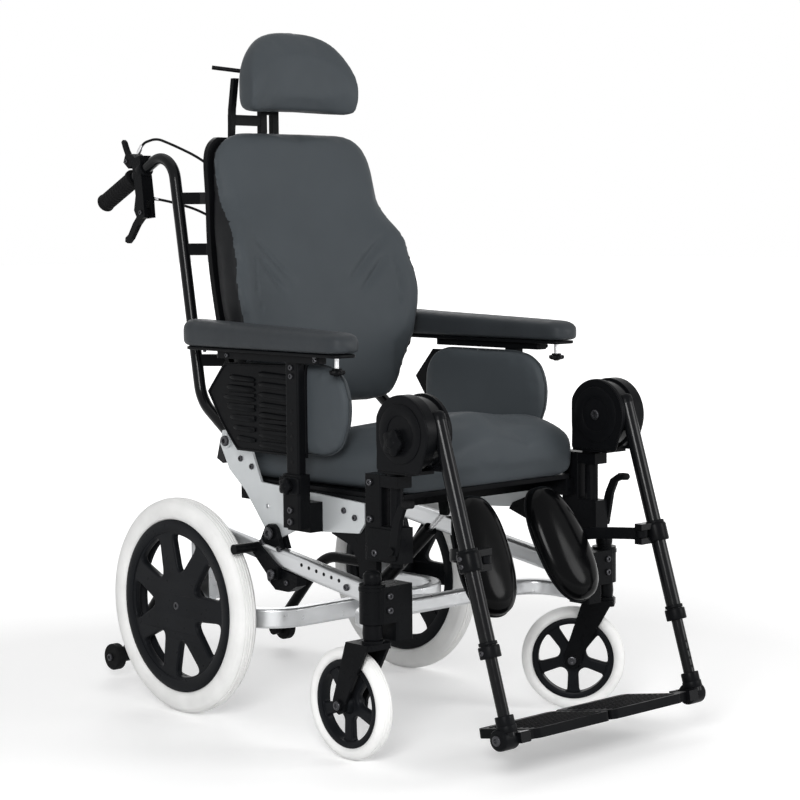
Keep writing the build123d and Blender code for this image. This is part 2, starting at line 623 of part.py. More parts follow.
def seat_cushion():
    low = SEAT_RAIL_TOP + PAN_THICK
    levels = [
        (CUSHION_REAR, 22, 0.078, 0.345, 0.431),
        (CUSHION_REAR - 8, 10, 0, 0.431, 0.543),
        (CUSHION_REAR - 30, 3, 0, 0.483, 0.603),
        (CUSHION_REAR - 184, 0, 0, 0.569, 0.776),
        (CUSHION_FRONT + 100, 0, 0, 0.672, 0.957),
        (CUSHION_FRONT + 34, 3, 0, 0.681, 1.0),
        (CUSHION_FRONT + 14, 7, 0, 0.647, 0.957),
        (CUSHION_FRONT + 4, 12, 0, 0.569, 0.862),
        (CUSHION_FRONT, 22, 0.078, 0.448, 0.707),
    ]
    sections = []
    for y, inset, lift, side, top in levels:
        heights = [low + CUSHION_DEPTH * share for share in (lift, side, top)]
        sections.append(cushion_section(y, CUSHION_HALF - inset, *heights))
    return loft(sections, ruled=True)


RECEIVER_TOP = 484.0


def legrest_receiver():
    """Block on the seat frame with the two bearings of the swing-away legrest."""
    x_range = (PLATE_X, POST_X + POST_RADIUS + 5)
    low = POST_BOTTOM + 8
    back = block(x_range, (POST_Y + 20, POST_Y + 60), (low, RECEIVER_TOP), 3)
    top = block(x_range, (POST_Y - 22, POST_Y + 20.5), (RECEIVER_TOP - 20, RECEIVER_TOP))
    bottom = block(x_range, (POST_Y - 24, POST_Y + 20.5), (low, low + 60))
    bore = rod((POST_X, POST_Y, 0), (POST_X, POST_Y, 600), POST_RADIUS + PIN_FIT)
    lever_pin = x_rod(x_range[1], x_range[1] + LEVER_THICK + 3, LEVER_Y, LEVER_Z, 4)
    lever_head = x_rod(x_range[1] + LEVER_THICK + 1, x_range[1] + LEVER_THICK + 3, LEVER_Y, LEVER_Z, 7)
    return back + top + bottom - bore + lever_pin + lever_head


def arm_socket():
    """Upright socket for the armrest's post, with its mounting block."""
    half_x = ARM_POST_WIDTH / 2 + ARM_WALL
    half_y = ARM_POST_DEPTH / 2 + ARM_WALL + 2
    tube = block((ARM_X - half_x, ARM_X + half_x), (ARM_Y - half_y, ARM_Y + half_y),
                 (ARM_SOCKET_BOTTOM, ARM_SOCKET_TOP), 5)
    fit = 0.15
    inside = block((ARM_X - ARM_POST_WIDTH / 2 - fit, ARM_X + ARM_POST_WIDTH / 2 + fit),
                   (ARM_Y - ARM_POST_DEPTH / 2 - fit, ARM_Y + ARM_POST_DEPTH / 2 + fit),
                   (ARM_POST_BOTTOM - 2, ARM_SOCKET_TOP + 10), 4 + fit)
    mount = block((PLATE_X + PLATE_THICK, ARM_X - half_x + 3), (ARM_Y - half_y, ARM_Y + half_y + 14),
                  (ARM_SOCKET_BOTTOM - 8, 420))
    return tube + mount - inside


# ---- backrest -----------------------------------------------------------------------
def lean(z):
    """Y of the backrest's leaning mid line at a height."""
    return BACK_LEAN * (z - 768)


def back_tube():
    """Push tube: eye at the recline pivot, a kink, and the loop to the grip."""
    section = Circle(BACK_TUBE_RADIUS)
    path = [(BACK_TUBE_X, RECLINE_Y, RECLINE_Z), (BACK_TUBE_X, *TUBE_KINK),
            (BACK_TUBE_X, TUBE_TOP_Y, HANDLE_TOP_Z), (BACK_TUBE_X, GRIP_END_Y - 4, GRIP_END_Z + 2)]
    tube = bent_bar(path, [70, 46], section)
    eye = x_rod(BACK_TUBE_X - 11, BACK_TUBE_X + 11, RECLINE_Y, RECLINE_Z, 18)
    bore = x_rod(BACK_TUBE_X - 40, BACK_TUBE_X + 40, RECLINE_Y, RECLINE_Z, RECLINE_PIN + PIN_FIT)
    foot = plate_yz([(RECLINE_Y - 4, RECLINE_Z - 10), (RECLINE_Y + 30, RECLINE_Z + 4),
                     (RECLINE_Y + 42, RECLINE_Z - 36), (RECLINE_Y + 24, RECLINE_Z - 44)],
                    BACK_TUBE_X - 10, BACK_TUBE_X + 10)
    return tube + eye + foot - bore


def back_levels():
    """Half widths behind and in front, front line, edge line and rear inset at each height."""
    rows = [
        (BACK_BOTTOM, 0.50, 0.47, -56, -2, 20),
        (BACK_BOTTOM + 12, 0.76, 0.68, -66, -3, 4),
        (BACK_BOTTOM + 71, 0.90, 0.82, -80, -6, 0),
        (BACK_BOTTOM + 144, 0.973, 0.91, -84, -27, 0),
        (BACK_BOTTOM + 230, 0.995, 0.955, -82, -38, 0),
        (BACK_TOP - 212, 0.986, 0.90, -76, -32, 0),
        (BACK_TOP - 130, 0.945, 0.827, -68, 4, 0),
        (BACK_TOP - 54, 0.91, 0.77, -64, 8, 0),
        (BACK_TOP - 16, 0.764, 0.664, -62, 6, 4),
        (BACK_TOP, 0.55, 0.50, -56, 2, 16),
    ]
    return [(z, BACK_HALF * wide, BACK_HALF * narrow, *rest) for z, wide, narrow, *rest in rows]


def shell_line(z, half):
    """The shell's rear surface at a height: middle y and side y."""
    middle = lean(z) - 9
    return middle, middle - 10 * (half / 200) ** 2


def back_section(z, half, tip, front, wing, rear_inset):
    plane = Plane(origin=(0, 0, z), x_dir=(1, 0, 0), z_dir=(0, 0, 1))
    middle, side = shell_line(z, half)
    back_mid = middle - SHELL_THICK - SHELL_GAP - rear_inset
    back_side = side - SHELL_THICK - SHELL_GAP - rear_inset * 0.6
    front_mid = lean(z) + front
    front_side = front_mid + wing
    inner = half - 4
    waist = ((inner + tip) / 2 + 5, (back_side + front_side) / 2)
    outline = [
        ThreePointArc((-inner, back_side), (0, back_mid), (inner, back_side)),
        ThreePointArc((inner, back_side), waist, (tip, front_side)),
        ThreePointArc((tip, front_side), (0, front_mid), (-tip, front_side)),
        ThreePointArc((-tip, front_side), (-waist[0], waist[1]), (-inner, back_side)),
    ]
    return plane * make_face(outline)


def back_cushion():
    return loft([back_section(*level) for level in back_levels()], ruled=True)


def shell_section(z, half):
    plane = Plane(origin=(0, 0, z), x_dir=(1, 0, 0), z_dir=(0, 0, 1))
    middle, side = shell_line(z, half)
    edge = half - 3
    outline = [
        ThreePointArc((-edge, side), (0, middle), (edge, side)),
        Line((edge, side), (edge, side - SHELL_THICK)),
        ThreePointArc((edge, side - SHELL_THICK), (0, middle - SHELL_THICK), (-edge, side - SHELL_THICK)),
        Line((-edge, side - SHELL_THICK), (-edge, side)),
    ]
    return plane * make_face(outline)


def back_shell():
    """Curved plastic shell that backs the cushion."""
    levels = [(z, half) for z, half, *rest in back_levels()][1:-1]
    return loft([shell_section(z, half) for z, half in levels])


def tube_y(z):
    """Y of the push tube's straight stretch."""
    kink_y, kink_z = TUBE_KINK
    return kink_y + (TUBE_TOP_Y - kink_y) * (z - kink_z) / (HANDLE_TOP_Z - kink_z)


BRACKET_LEVELS = (650, 856, 951)


def shell_brackets(shell, tube):
    """Arms from the push tubes to the shell."""
    arms = []
    for z in BRACKET_LEVELS:
        start = tube_y(z)
        root = BACK_TUBE_X - 68
        outline = [(BACK_TUBE_X, start - 9), (BACK_TUBE_X, start + 9), (BACK_TUBE_X - 26, start - 4),
                   (root, lean(z) + 12), (root, lean(z) - 30), (BACK_TUBE_X - 22, start - 40)]
        face = Plane.XY.offset(z - 11) * make_face(Polyline(*outline, close=True))
        arms.append(extrude(face, amount=22) - shell - tube)
    return [largest(arm) for arm in arms]


def largest(shape):
    """The biggest solid left after a cut."""
    return max(shape.solids(), key=lambda solid: solid.volume)


def grip():
    """Hand grip on the tube's end."""
    end = Vector(BACK_TUBE_X, GRIP_END_Y, GRIP_END_Z)
    along = (Vector(BACK_TUBE_X, TUBE_TOP_Y, HANDLE_TOP_Z) - end).normalized()
    body = rod(tuple(end), tuple(end + along * GRIP_LENGTH), GRIP_RADIUS)
    body = fillet(body.edges(), 5)
    return body


LEVER_PIVOT_Y = 184.0
LEVER_PIVOT_Z = 926.0
TRIGGER_Y = 228.0
TRIGGER_Z = 1024.0


def lever_housing(tube):
    """Clamp round the tube in front of the grip, with the pivots of both hand levers."""
    half = 13.0
    outline = [(184, 1034), (212, 1026), (206, 992), (200, 958), (206, 930), (196, 914), (172, 916),
               (176, 960), (182, 1000)]
    body = plate_yz(outline, BACK_TUBE_X - half, BACK_TUBE_X + half)
    upper = plate_yz([(200, 1018), (222, 1010), (238, 1022), (232, 1036), (214, 1038), (200, 1030)],
                     BACK_TUBE_X - half, BACK_TUBE_X + half)
    lever_slot = block((BACK_TUBE_X - 5, BACK_TUBE_X + 5), (160, 240), (900, 948))
    trigger_slot = block((BACK_TUBE_X - 4, BACK_TUBE_X + 4), (214, 260), (1012, 1060))
    lever_pin = x_rod(BACK_TUBE_X - half, BACK_TUBE_X + half, LEVER_PIVOT_Y, LEVER_PIVOT_Z, 3)
    trigger_pin = x_rod(BACK_TUBE_X - half, BACK_TUBE_X + half, TRIGGER_Y, TRIGGER_Z, 2.5)
    return body + upper - tube - lever_slot - trigger_slot + lever_pin + trigger_pin


def hand_lever():
    """Long lever under the grip."""
    outline = [(177, 931), (184, 935), (197, 930), (222, 906), (238, 884), (248, 878), (249, 870),
               (240, 867), (228, 876), (206, 902), (186, 918), (178, 921)]
    blade = plate_yz(outline, BACK_TUBE_X - 4.6, BACK_TUBE_X + 4.6)
    return blade - x_rod(0, 400, LEVER_PIVOT_Y, LEVER_PIVOT_Z, 3 + PIN_FIT)


def trigger():
    """Small lever above the grip."""
    outline = [(222, 1026), (226, 1030), (238, 1046), (246, 1062), (252, 1066), (257, 1062), (252, 1050),
               (240, 1028), (232, 1019), (224, 1019)]
    blade = plate_yz(outline, BACK_TUBE_X - 3.6, BACK_TUBE_X + 3.6)
    return blade - x_rod(0, 400, TRIGGER_Y, TRIGGER_Z, 2.5 + PIN_FIT)


CABLE_RADIUS = 2.5


def release_cables():
    """Control cables from the lever housings to behind the shell, with their bend radii."""
    upper = [(BACK_TUBE_X, 204, 1041), (BACK_TUBE_X - 2, 192, 1058), (BACK_TUBE_X - 8, 158, 1066),
             (BACK_TUBE_X - 18, 112, 1050), (BACK_TUBE_X - 40, 70, 1028), (BACK_TUBE_X - 64, 34, 996),
             (BACK_TUBE_X - 64, 34, BRACKET_LEVELS[2] + 11.4)]
    lower = [(BACK_TUBE_X - 15.8, 184, 953), (BACK_TUBE_X - 28, 138, 945), (BACK_TUBE_X - 48, 84, 930),
             (BACK_TUBE_X - 64, 22, 900), (BACK_TUBE_X - 64, 22, BRACKET_LEVELS[1] + 11.4)]
    cables = []
    for route in (upper, lower):
        radii = bend_radii(route)
        path = FilletPolyline(*route, radius=radii)
        cables.append(sweep(Plane(origin=path @ 0, z_dir=path % 0) * Circle(CABLE_RADIUS), path=path))
    return cables


def bend_radii(route):
    """The largest arc that each corner's two runs allow."""
    points = [Vector(*point) for point in route]
    radii = []
    for before, corner, after in zip(points, points[1:], points[2:]):
        turn = math.radians((corner - before).get_angle(after - corner))
        shorter = min((corner - before).length, (after - corner).length)
        radii.append(0.45 * shorter / math.tan(turn / 2))
    return radii


# ---- headrest -----------------------------------------------------------------------
def headrest_socket(shell):
    """Guide on the back of the shell for the headrest's post."""
    z_range = (980, 1062)
    half = HEAD_POST_WIDTH / 2 + 7
    guide = block((-half, half), (HEAD_POST_Y - 12, HEAD_POST_Y + 12), z_range, 3)
    fit = 0.15
    inside = block((-HEAD_POST_WIDTH / 2 - fit, HEAD_POST_WIDTH / 2 + fit),
                   (HEAD_POST_Y - HEAD_POST_THICK / 2 - fit, HEAD_POST_Y + HEAD_POST_THICK / 2 + fit),
                   (0, 2000))
    pad = block((-half, half), (10, HEAD_POST_Y - 11), (1000, 1044))
    return largest(guide + pad - inside - shell)


def headrest_post():
    """Flat post with the fork that carries the headrest's hinge."""
    post = block((-HEAD_POST_WIDTH / 2, HEAD_POST_WIDTH / 2),
                 (HEAD_POST_Y - HEAD_POST_THICK / 2, HEAD_POST_Y + HEAD_POST_THICK / 2), (900, 1150))
    window = block((-7, 7), (HEAD_POST_Y - 20, HEAD_POST_Y + 20), (1070, 1112))
    ear_shape = [(HEAD_POST_Y + 6, HEAD_PIVOT_Z - 52), (HEAD_POST_Y + 6, HEAD_PIVOT_Z - 12),
                 (HEAD_PIVOT_Y + 10, HEAD_PIVOT_Z + 10),
                 (HEAD_PIVOT_Y - 8, HEAD_PIVOT_Z + 8), (HEAD_PIVOT_Y - 8, HEAD_PIVOT_Z - 8),
                 (HEAD_POST_Y - 12, 1124)]
    ear = plate_yz(ear_shape, HEAD_POST_WIDTH / 2 - 6, HEAD_POST_WIDTH / 2)
    pin = x_rod(-HEAD_POST_WIDTH / 2, HEAD_POST_WIDTH / 2, HEAD_PIVOT_Y, HEAD_PIVOT_Z, 5)
    top = HEAD_PIVOT_Z + 6
    strip = plate_yz([(HEAD_POST_Y - 4, 1064), (HEAD_POST_Y + 4, 1064), (HEAD_POST_Y + 2, 1120),
                      (HEAD_POST_Y - 8, top), (HEAD_POST_Y - 18, top), (HEAD_POST_Y - 8, 1120)], -96, -84)
    tie = block((-96, -HEAD_POST_WIDTH / 2), (HEAD_POST_Y - 5, HEAD_POST_Y + 3), (1090, 1110))
    return post - window + ear + mirror(ear, about=Plane.YZ) + pin + strip + tie


def headrest_bracket():
    """Back plate of the headrest with its hinge knuckle and locking lever."""
    knuckle_half = HEAD_POST_WIDTH / 2 - 6 - RUN_GAP
    front = HEAD_PIVOT_Y - 20
    plate = block((-70, 70), (front, front + 5), (HEAD_PIVOT_Z - 40, HEAD_PIVOT_Z + 40), 0)
    knuckle = x_rod(-knuckle_half, knuckle_half, HEAD_PIVOT_Y, HEAD_PIVOT_Z, 9)
    arm = block((-knuckle_half, knuckle_half), (front, HEAD_PIVOT_Y), (HEAD_PIVOT_Z - 8, HEAD_PIVOT_Z + 8))
    lever = rod((-66, front + 3, HEAD_PIVOT_Z + 16), (-128, front + 52, HEAD_PIVOT_Z + 26), 4)
    body = plate + knuckle + arm + lever
    return body - x_rod(-60, 60, HEAD_PIVOT_Y, HEAD_PIVOT_Z, 5 + PIN_FIT)


def headrest_pad():
    """Wrap-around head pad: flat underside, high rounded shoulders."""
    back = HEAD_PIVOT_Y - 20 - RUN_GAP
    stations = [(1.0, 0.42, 0.40), (0.97, 0.62, 0.66), (0.88, 0.81, 0.86), (0.72, 0.92, 0.96), (0.4, 0.985, 1.0),
                (0.0, 1.0, 1.0)]
    signed = [(-x, t, d) for x, t, d in stations] + [(x, t, d) for x, t, d in reversed(stations[:-1])]
    sections = []
    for share, tall, deep in signed:
        x = share * HEAD_HALF
        forward = 46 * share ** 2
        height = HEAD_HEIGHT * tall
        low = HEAD_BOTTOM + (1 - tall) * 0.23 * HEAD_HEIGHT
        high = low + height
        rear = back - forward
        front = rear - 52 * deep
        middle = (low + high) / 2
        plane = Plane.YZ.offset(x)
        corner_low = 0.055 * height
        corner_high = 0.082 * height
        outline = [
            ThreePointArc((front, low + corner_low), (front - 6 * deep, middle), (front, high - corner_high)),
            ThreePointArc((front, high - corner_high), ((front + rear) / 2, high), (rear, high - corner_high)),
            Line((rear, high - corner_high), (rear, low + corner_low)),
            ThreePointArc((rear, low + corner_low), ((front + rear) / 2, low), (front, low + corner_low)),
        ]
        sections.append(plane * make_face(outline))
    return loft(sections, ruled=True)


# ---- armrests -----------------------------------------------------------------------
GUARD_TOP = ARM_PAD_BOTTOM - 22.0
GUARD_BOTTOM = ARM_SOCKET_TOP + 28.0
GUARD_FRONT = ARM_Y - ARM_POST_DEPTH / 2
GUARD_REAR = ARM_Y + 260.0
GUARD_OUTLINE = [(GUARD_REAR - 50, GUARD_TOP - 5), (GUARD_REAR, GUARD_TOP - 60),
                 (GUARD_REAR - 40, GUARD_BOTTOM + 48), (GUARD_REAR - 84, GUARD_BOTTOM), (GUARD_FRONT, GUARD_BOTTOM), (GUARD_FRONT, GUARD_TOP)]


def arm_frame():
    """Post and carrier bar of the armrest."""
    post = block((ARM_X - ARM_POST_WIDTH / 2, ARM_X + ARM_POST_WIDTH / 2),
                 (ARM_Y - ARM_POST_DEPTH / 2, ARM_Y + ARM_POST_DEPTH / 2),
                 (ARM_POST_BOTTOM, CARRIER_BOTTOM + 1), 4)
    front = ARM_PAD_FRONT + KNOB_INSET + ARM_SLIDE + STUD_RADIUS + 2
    bar = block((ARM_X - 11, ARM_X + 14), (front, ARM_PAD_REAR - 94), (CARRIER_BOTTOM, CARRIER_TOP), 6)
    return post + bar


KNOB_INSET = 36.0
STUD_RADIUS = 4.0
CARRIER_TOP = ARM_PAD_BOTTOM - ARM_PLATE_THICK - RUN_GAP
CARRIER_BOTTOM = CARRIER_TOP - CARRIER_BAR


def side_guard():
    """Clothes guard with raised louvres on its outer face."""
    outer = ARM_X - ARM_POST_WIDTH / 2
    panel = plate_yz(GUARD_OUTLINE, outer - GUARD_THICK, outer)
    for index in range(7):
        z = GUARD_BOTTOM + 14 + index * 20
        panel += block((outer, outer + 3), (GUARD_FRONT + 39, GUARD_FRONT + 123), (z, z + 7))
    for index in range(6):
        z = GUARD_BOTTOM + 18 + index * 20
        rear = GUARD_REAR - 58 - abs(index - 3.4) * 9
        panel += block((outer, outer + 3), (GUARD_FRONT + 139, rear), (z, z + 6))
    return panel


def hip_pad():
    """Side cushion beside the hip: D-shaped, thinner towards its edge."""
    outer = ARM_X - ARM_POST_WIDTH / 2 - GUARD_THICK - RUN_GAP
    sections = []
    for share, inset in ((0.0, 4.0), (0.45, 0.0), (0.8, 3.0), (1.0, 14.0)):
        x = outer - HIP_PAD_THICK * share
        rear = GUARD_REAR - 50 - inset
        front = ARM_Y - 114 + inset
        low = HIP_PAD_BOTTOM + inset
        high = HIP_PAD_TOP - inset
        outline = [
            Line((rear - 40, low), (front + 55, low)),
            ThreePointArc((front + 55, low), (front + 14, low + 28), (front, (low + high) / 2 - 10)),
            ThreePointArc((front, (low + high) / 2 - 10), (front + 22, high - 24), (front + 78, high)),
            Line((front + 78, high), (rear, high)),
            Line((rear, high), (rear, low + 30)),
            Line((rear, low + 30), (rear - 40, low)),
        ]
        sections.append(Plane.YZ.offset(x) * make_face(outline))
    return loft(sections, ruled=True)


def arm_pad():
    """Padded top and the hard plate under it, with its clamp knob."""
    plate = block((ARM_X - ARM_PAD_HALF + 5, ARM_X + ARM_PAD_HALF - 5), (ARM_PAD_FRONT + 10, ARM_PAD_REAR - 10),
                  (ARM_PAD_BOTTOM - ARM_PLATE_THICK, ARM_PAD_BOTTOM), 18)
    knob_y = ARM_PAD_FRONT + KNOB_INSET
    knob_top = ARM_PAD_BOTTOM - ARM_PLATE_THICK - 19
    stud = rod((ARM_X, knob_y, ARM_PAD_BOTTOM - ARM_PLATE_THICK), (ARM_X, knob_y, knob_top - 1), STUD_RADIUS)
    knob = Pos(ARM_X, knob_y, knob_top - 6) * star_knob(13, 12)
    sections = []
    length = ARM_PAD_REAR - ARM_PAD_FRONT
    for share, narrow, low in ((0.0, 0.5, 10), (0.012, 0.72, 4), (0.04, 0.92, 1), (0.08, 1.0, 0),
                               (0.6, 0.98, 0), (0.94, 0.84, 0), (0.985, 0.66, 3), (1.0, 0.42, 9)):
        y = ARM_PAD_FRONT + length * share
        half = ARM_PAD_HALF * narrow
        bottom = ARM_PAD_BOTTOM + low * 0.3
        top = ARM_PAD_TOP + ARM_PAD_RISE * share - low
        shoulder = top - 9
        face_plane = Plane(origin=(ARM_X, y, 0), x_dir=(1, 0, 0), z_dir=(0, -1, 0))
        outline = [
            Line((-half + 3, bottom), (half - 3, bottom)),
            ThreePointArc((half - 3, bottom), (half, (bottom + shoulder) / 2), (half - 3, shoulder)),
            ThreePointArc((half - 3, shoulder), (0, top), (-half + 3, shoulder)),
            ThreePointArc((-half + 3, shoulder), (-half, (bottom + shoulder) / 2), (-half + 3, bottom)),
        ]
        sections.append(face_plane * make_face(outline))
    return loft(sections, ruled=True), plate + stud + knob


def star_knob(radius, height):
    """Hand knob with five lobes, its axis along Z."""
    knob = Cylinder(radius * 0.7, height)
    for index in range(5):
        angle = 2 * math.pi * index / 5
        knob += Pos(radius * 0.66 * math.cos(angle), radius * 0.66 * math.sin(angle), 0) * Cylinder(
            radius * 0.34, height)
    return knob


# ---- legrests -----------------------------------------------------------------------
LEVER_Y = -560.0
LEVER_Z = 360.0
LEVER_THICK = 8.0


def leg_point(z):
    """Centre of the leg tube at a height."""
    share = (z - LEG_FOOT[1]) / (LEG_TOP[1] - LEG_FOOT[1])
    return (LEG_X, LEG_FOOT[0] + share * (LEG_TOP[0] - LEG_FOOT[0]), z)


def hanger():
    """Swing-away post with the two cheeks of the knee housing and its knob."""
    rear = POST_Y + KNEE_REAR
    floor = (KNEE_BOTTOM - 4, KNEE_BOTTOM + 2)
    post = rod((POST_X, POST_Y, POST_BOTTOM), (POST_X, POST_Y, floor[1]), POST_RADIUS)
    collar = rod((POST_X, POST_Y, RECEIVER_TOP + RUN_GAP), (POST_X, POST_Y, floor[1]), POST_RADIUS + 3)
    front = KNEE_Y - KNEE_RADIUS * 0.36
    body = post + collar + block((KNEE_INNER - KNEE_INNER_PLATE, KNEE_OUTER), (front, rear), floor)
    cut = block((0, 2 * POST_X), (rear, rear + 200), (0, 900))
    for span in ((KNEE_SPLIT, KNEE_OUTER), (KNEE_INNER - KNEE_INNER_PLATE, KNEE_INNER)):
        cheek = x_rod(*span, KNEE_Y, KNEE_Z, KNEE_RADIUS)
        cheek += block(span, (front, rear), (KNEE_BOTTOM, KNEE_Z))
        body += cheek - cut
    hub = x_rod(KNEE_INNER - 1, KNEE_SPLIT + 1, KNEE_Y, KNEE_Z, 10)
    knob = Pos(KNEE_OUTER + 7, KNEE_Y + 8, KNEE_Z - 14) * Rot(0, 90, 0) * star_knob(21, 14)
    return body + hub + knob


def leg_tube():
    """Elevating half: knee disc, upper leg tube and the calf pad's clamp."""
    disc = x_rod(KNEE_INNER + KNEE_SIDE_GAP, KNEE_SPLIT - KNEE_SIDE_GAP, KNEE_Y, KNEE_Z, KNEE_RADIUS - 4)
    tube = rod(leg_point(LEG_TOP[1]), leg_point(LEG_SPLIT_Z), LEG_RADIUS)
    clamp = rod(leg_point(368), leg_point(342), LEG_RADIUS + 5)
    pivot_x, pivot_y = CALF_PIVOT
    lugs = [block((pivot_x - 9, LEG_X - 8), (pivot_y - 8, pivot_y + 8), span) for span in CALF_LUGS]
    calf_pin = rod((pivot_x, pivot_y, CALF_LUGS[0][0]), (pivot_x, pivot_y, CALF_LUGS[1][1]), 5)
    collar = rod(leg_point(LEG_SPLIT_Z + 14), leg_point(LEG_SPLIT_Z), LEG_RADIUS + 3)
    hub_bore = x_rod(0, 400, KNEE_Y, KNEE_Z, 10 + PIN_FIT)
    inside = rod(leg_point(LEG_TOP[1] - 60), leg_point(LEG_SPLIT_Z - 20), LEG_INNER_RADIUS + PIN_FIT)
    return disc + tube + clamp + lugs[0] + lugs[1] + calf_pin + collar - hub_bore - inside


def foot_tube():
    """Sliding lower tube with the foot casting at its end."""
    inner = rod(leg_point(LEG_SPLIT_Z + 110), leg_point(LEG_FOOT[1] - 14), LEG_INNER_RADIUS)
    casting = x_rod(FLIP_X + 12, LEG_X + 18, FOOT_Y, FOOT_Z, 17)
    cap = x_rod(LEG_X + 18, LEG_X + 21, FOOT_Y, FOOT_Z, 9)
    sleeve = rod(leg_point(LEG_FOOT[1] + 12), leg_point(FOOT_Z + 4), LEG_INNER_RADIUS + 4)
    return inner + casting + cap + sleeve + flip_ears()


def foot_place():
    """The footplate's own axes: X across, Y along the plate towards the heel."""
    return Pos(0, FOOT_Y, FOOT_Z) * Rot(-FOOTPLATE_PITCH, 0, 0)


def flip_ears():
    """Two lugs and the pin that the footplate folds up on."""
    ears = []
    for start in (-24, 14):
        lug = block((FLIP_X - 6, FLIP_X + 16), (start, start + 8), (-9, 9))
        ears.append(lug)
    pin = rod((FLIP_X, -24, 0), (FLIP_X, 22, 0), 4)
    return foot_place() * (ears[0] + ears[1] + pin)


def footplate():
    """Half of the foot support, hinged at its outer end."""
    half = FOOTPLATE_THICK / 2
    plate = block((PLATE_INNER, FLIP_X - 20), (-22, FOOTPLATE_DEPTH - 22), (-half, half), 14)
    knuckle = rod((FLIP_X, -24 + 8 + RUN_GAP, 0), (FLIP_X, 14 - RUN_GAP, 0), half)
    tongue = block((FLIP_X - 22, FLIP_X), (-24 + 8 + RUN_GAP, 14 - RUN_GAP), (-half, half - 1))
    bore = rod((FLIP_X, -60, 0), (FLIP_X, 60, 0), 4 + PIN_FIT)
    return foot_place() * (plate + knuckle + tongue - bore)


CALF_Y = -612.0
CALF_Z = 343.0
CALF_LEAN = -26.0
CALF_SPLAY = -7.7
CALF_PIVOT = (LEG_X - 36.5, -706.0)
CALF_LUGS = ((338.0, 349.0), (363.0, 374.0))


def calf_place():
    return Pos(CALF_X, CALF_Y, CALF_Z) * Rot(CALF_LEAN, 0, 0) * Rot(0, CALF_SPLAY, 0)


def calf_pad():
    """Oval calf pad, thicker in its middle, on a bent arm."""
    sections = []
    for depth, scale in ((0.0, 0.90), (0.35, 1.0), (0.75, 0.93), (1.0, 0.66)):
        width = CALF_WIDTH * scale
        height = CALF_HEIGHT - CALF_WIDTH * (1 - scale)
        y = -CALF_THICK * depth + CALF_THICK / 2
        straight = (height - width) / 2
        half = width / 2
        plane = Plane(origin=(0, y, 0), x_dir=(1, 0, 0), z_dir=(0, -1, 0))
        outline = [
            Line((half, -straight), (half, straight)),
            ThreePointArc((half, straight), (0, straight + half), (-half, straight)),
            Line((-half, straight), (-half, -straight)),
            ThreePointArc((-half, -straight), (0, -straight - half), (half, -straight)),
        ]
        sections.append(plane * make_face(outline))
    return calf_place() * loft(sections, ruled=True)


def trace_bar(line, half_thick, low, high):
    """A flat bar on edge along a line seen from above."""
    bar = None
    for (xa, ya), (xb, yb) in zip(line, line[1:]):
        length = math.hypot(xb - xa, yb - ya)
        angle = math.degrees(math.atan2(yb - ya, xb - xa))
        run = Box(length, 2 * half_thick, high - low)
        joint = Pos(length / 2, 0, 0) * Cylinder(half_thick, high - low)
        piece = Pos((xa + xb) / 2, (ya + yb) / 2, (low + high) / 2) * Rot(0, 0, angle) * (run + joint)
        bar = piece if bar is None else bar + piece
    return bar


def calf_arm():
    """Flat bar from its eye on the leg tube's upright pin, round the pad, to a disc behind it."""
    pivot_x, pivot_y = CALF_PIVOT
    low = CALF_LUGS[0][1] + RUN_GAP
    high = CALF_LUGS[1][0] - RUN_GAP
    middle = (low + high) / 2
    eye = rod((pivot_x, pivot_y, low), (pivot_x, pivot_y, high), 11)
    half = 5.5
    disc_face = calf_place() * Pos(0, CALF_THICK / 2, 0)
    disc = disc_face * Rot(-90, 0, 0) * Pos(0, 0, 5) * Cylinder(22, 10)
    hub = (disc_face * Pos(0, 5, 0)).position
    line = [(pivot_x, pivot_y), (pivot_x - 28, pivot_y + 66), (CALF_X + 68, CALF_Y + 20),
            (CALF_X + 56, CALF_Y + 34), (hub.X, hub.Y)]
    arm = trace_bar(line, 2.5, middle - half, middle + half)
    drop = block((hub.X, hub.X + 16), (hub.Y - 5, hub.Y + 7), (hub.Z - 8, middle + half))
    arm += drop
    pad_side = calf_place() * Pos(0, CALF_THICK / 2 - 50, 0) * Box(CALF_WIDTH, 100, CALF_HEIGHT)
    pin = rod((pivot_x, pivot_y, 0), (pivot_x, pivot_y, 600), 5 + PIN_FIT)
    return eye + disc + (arm - pad_side) - pin


def release_lever():
    """Hooked lever that frees the legrest from its receiver."""
    x_start = POST_X + POST_RADIUS + 5 + RUN_GAP
    hook = [(8, -8), (-8, -8), (-14, 20), (-20, 50), (-30, 72), (-46, 78), (-47, 86), (-32, 86), (-16, 76),
            (-4, 52), (4, 24)]
    outline = [(LEVER_Y + y, LEVER_Z + z) for y, z in hook]
    blade = plate_yz(outline, x_start, x_start + LEVER_THICK - 1)
    return blade - x_rod(0, 400, LEVER_Y, LEVER_Z, 4 + PIN_FIT)


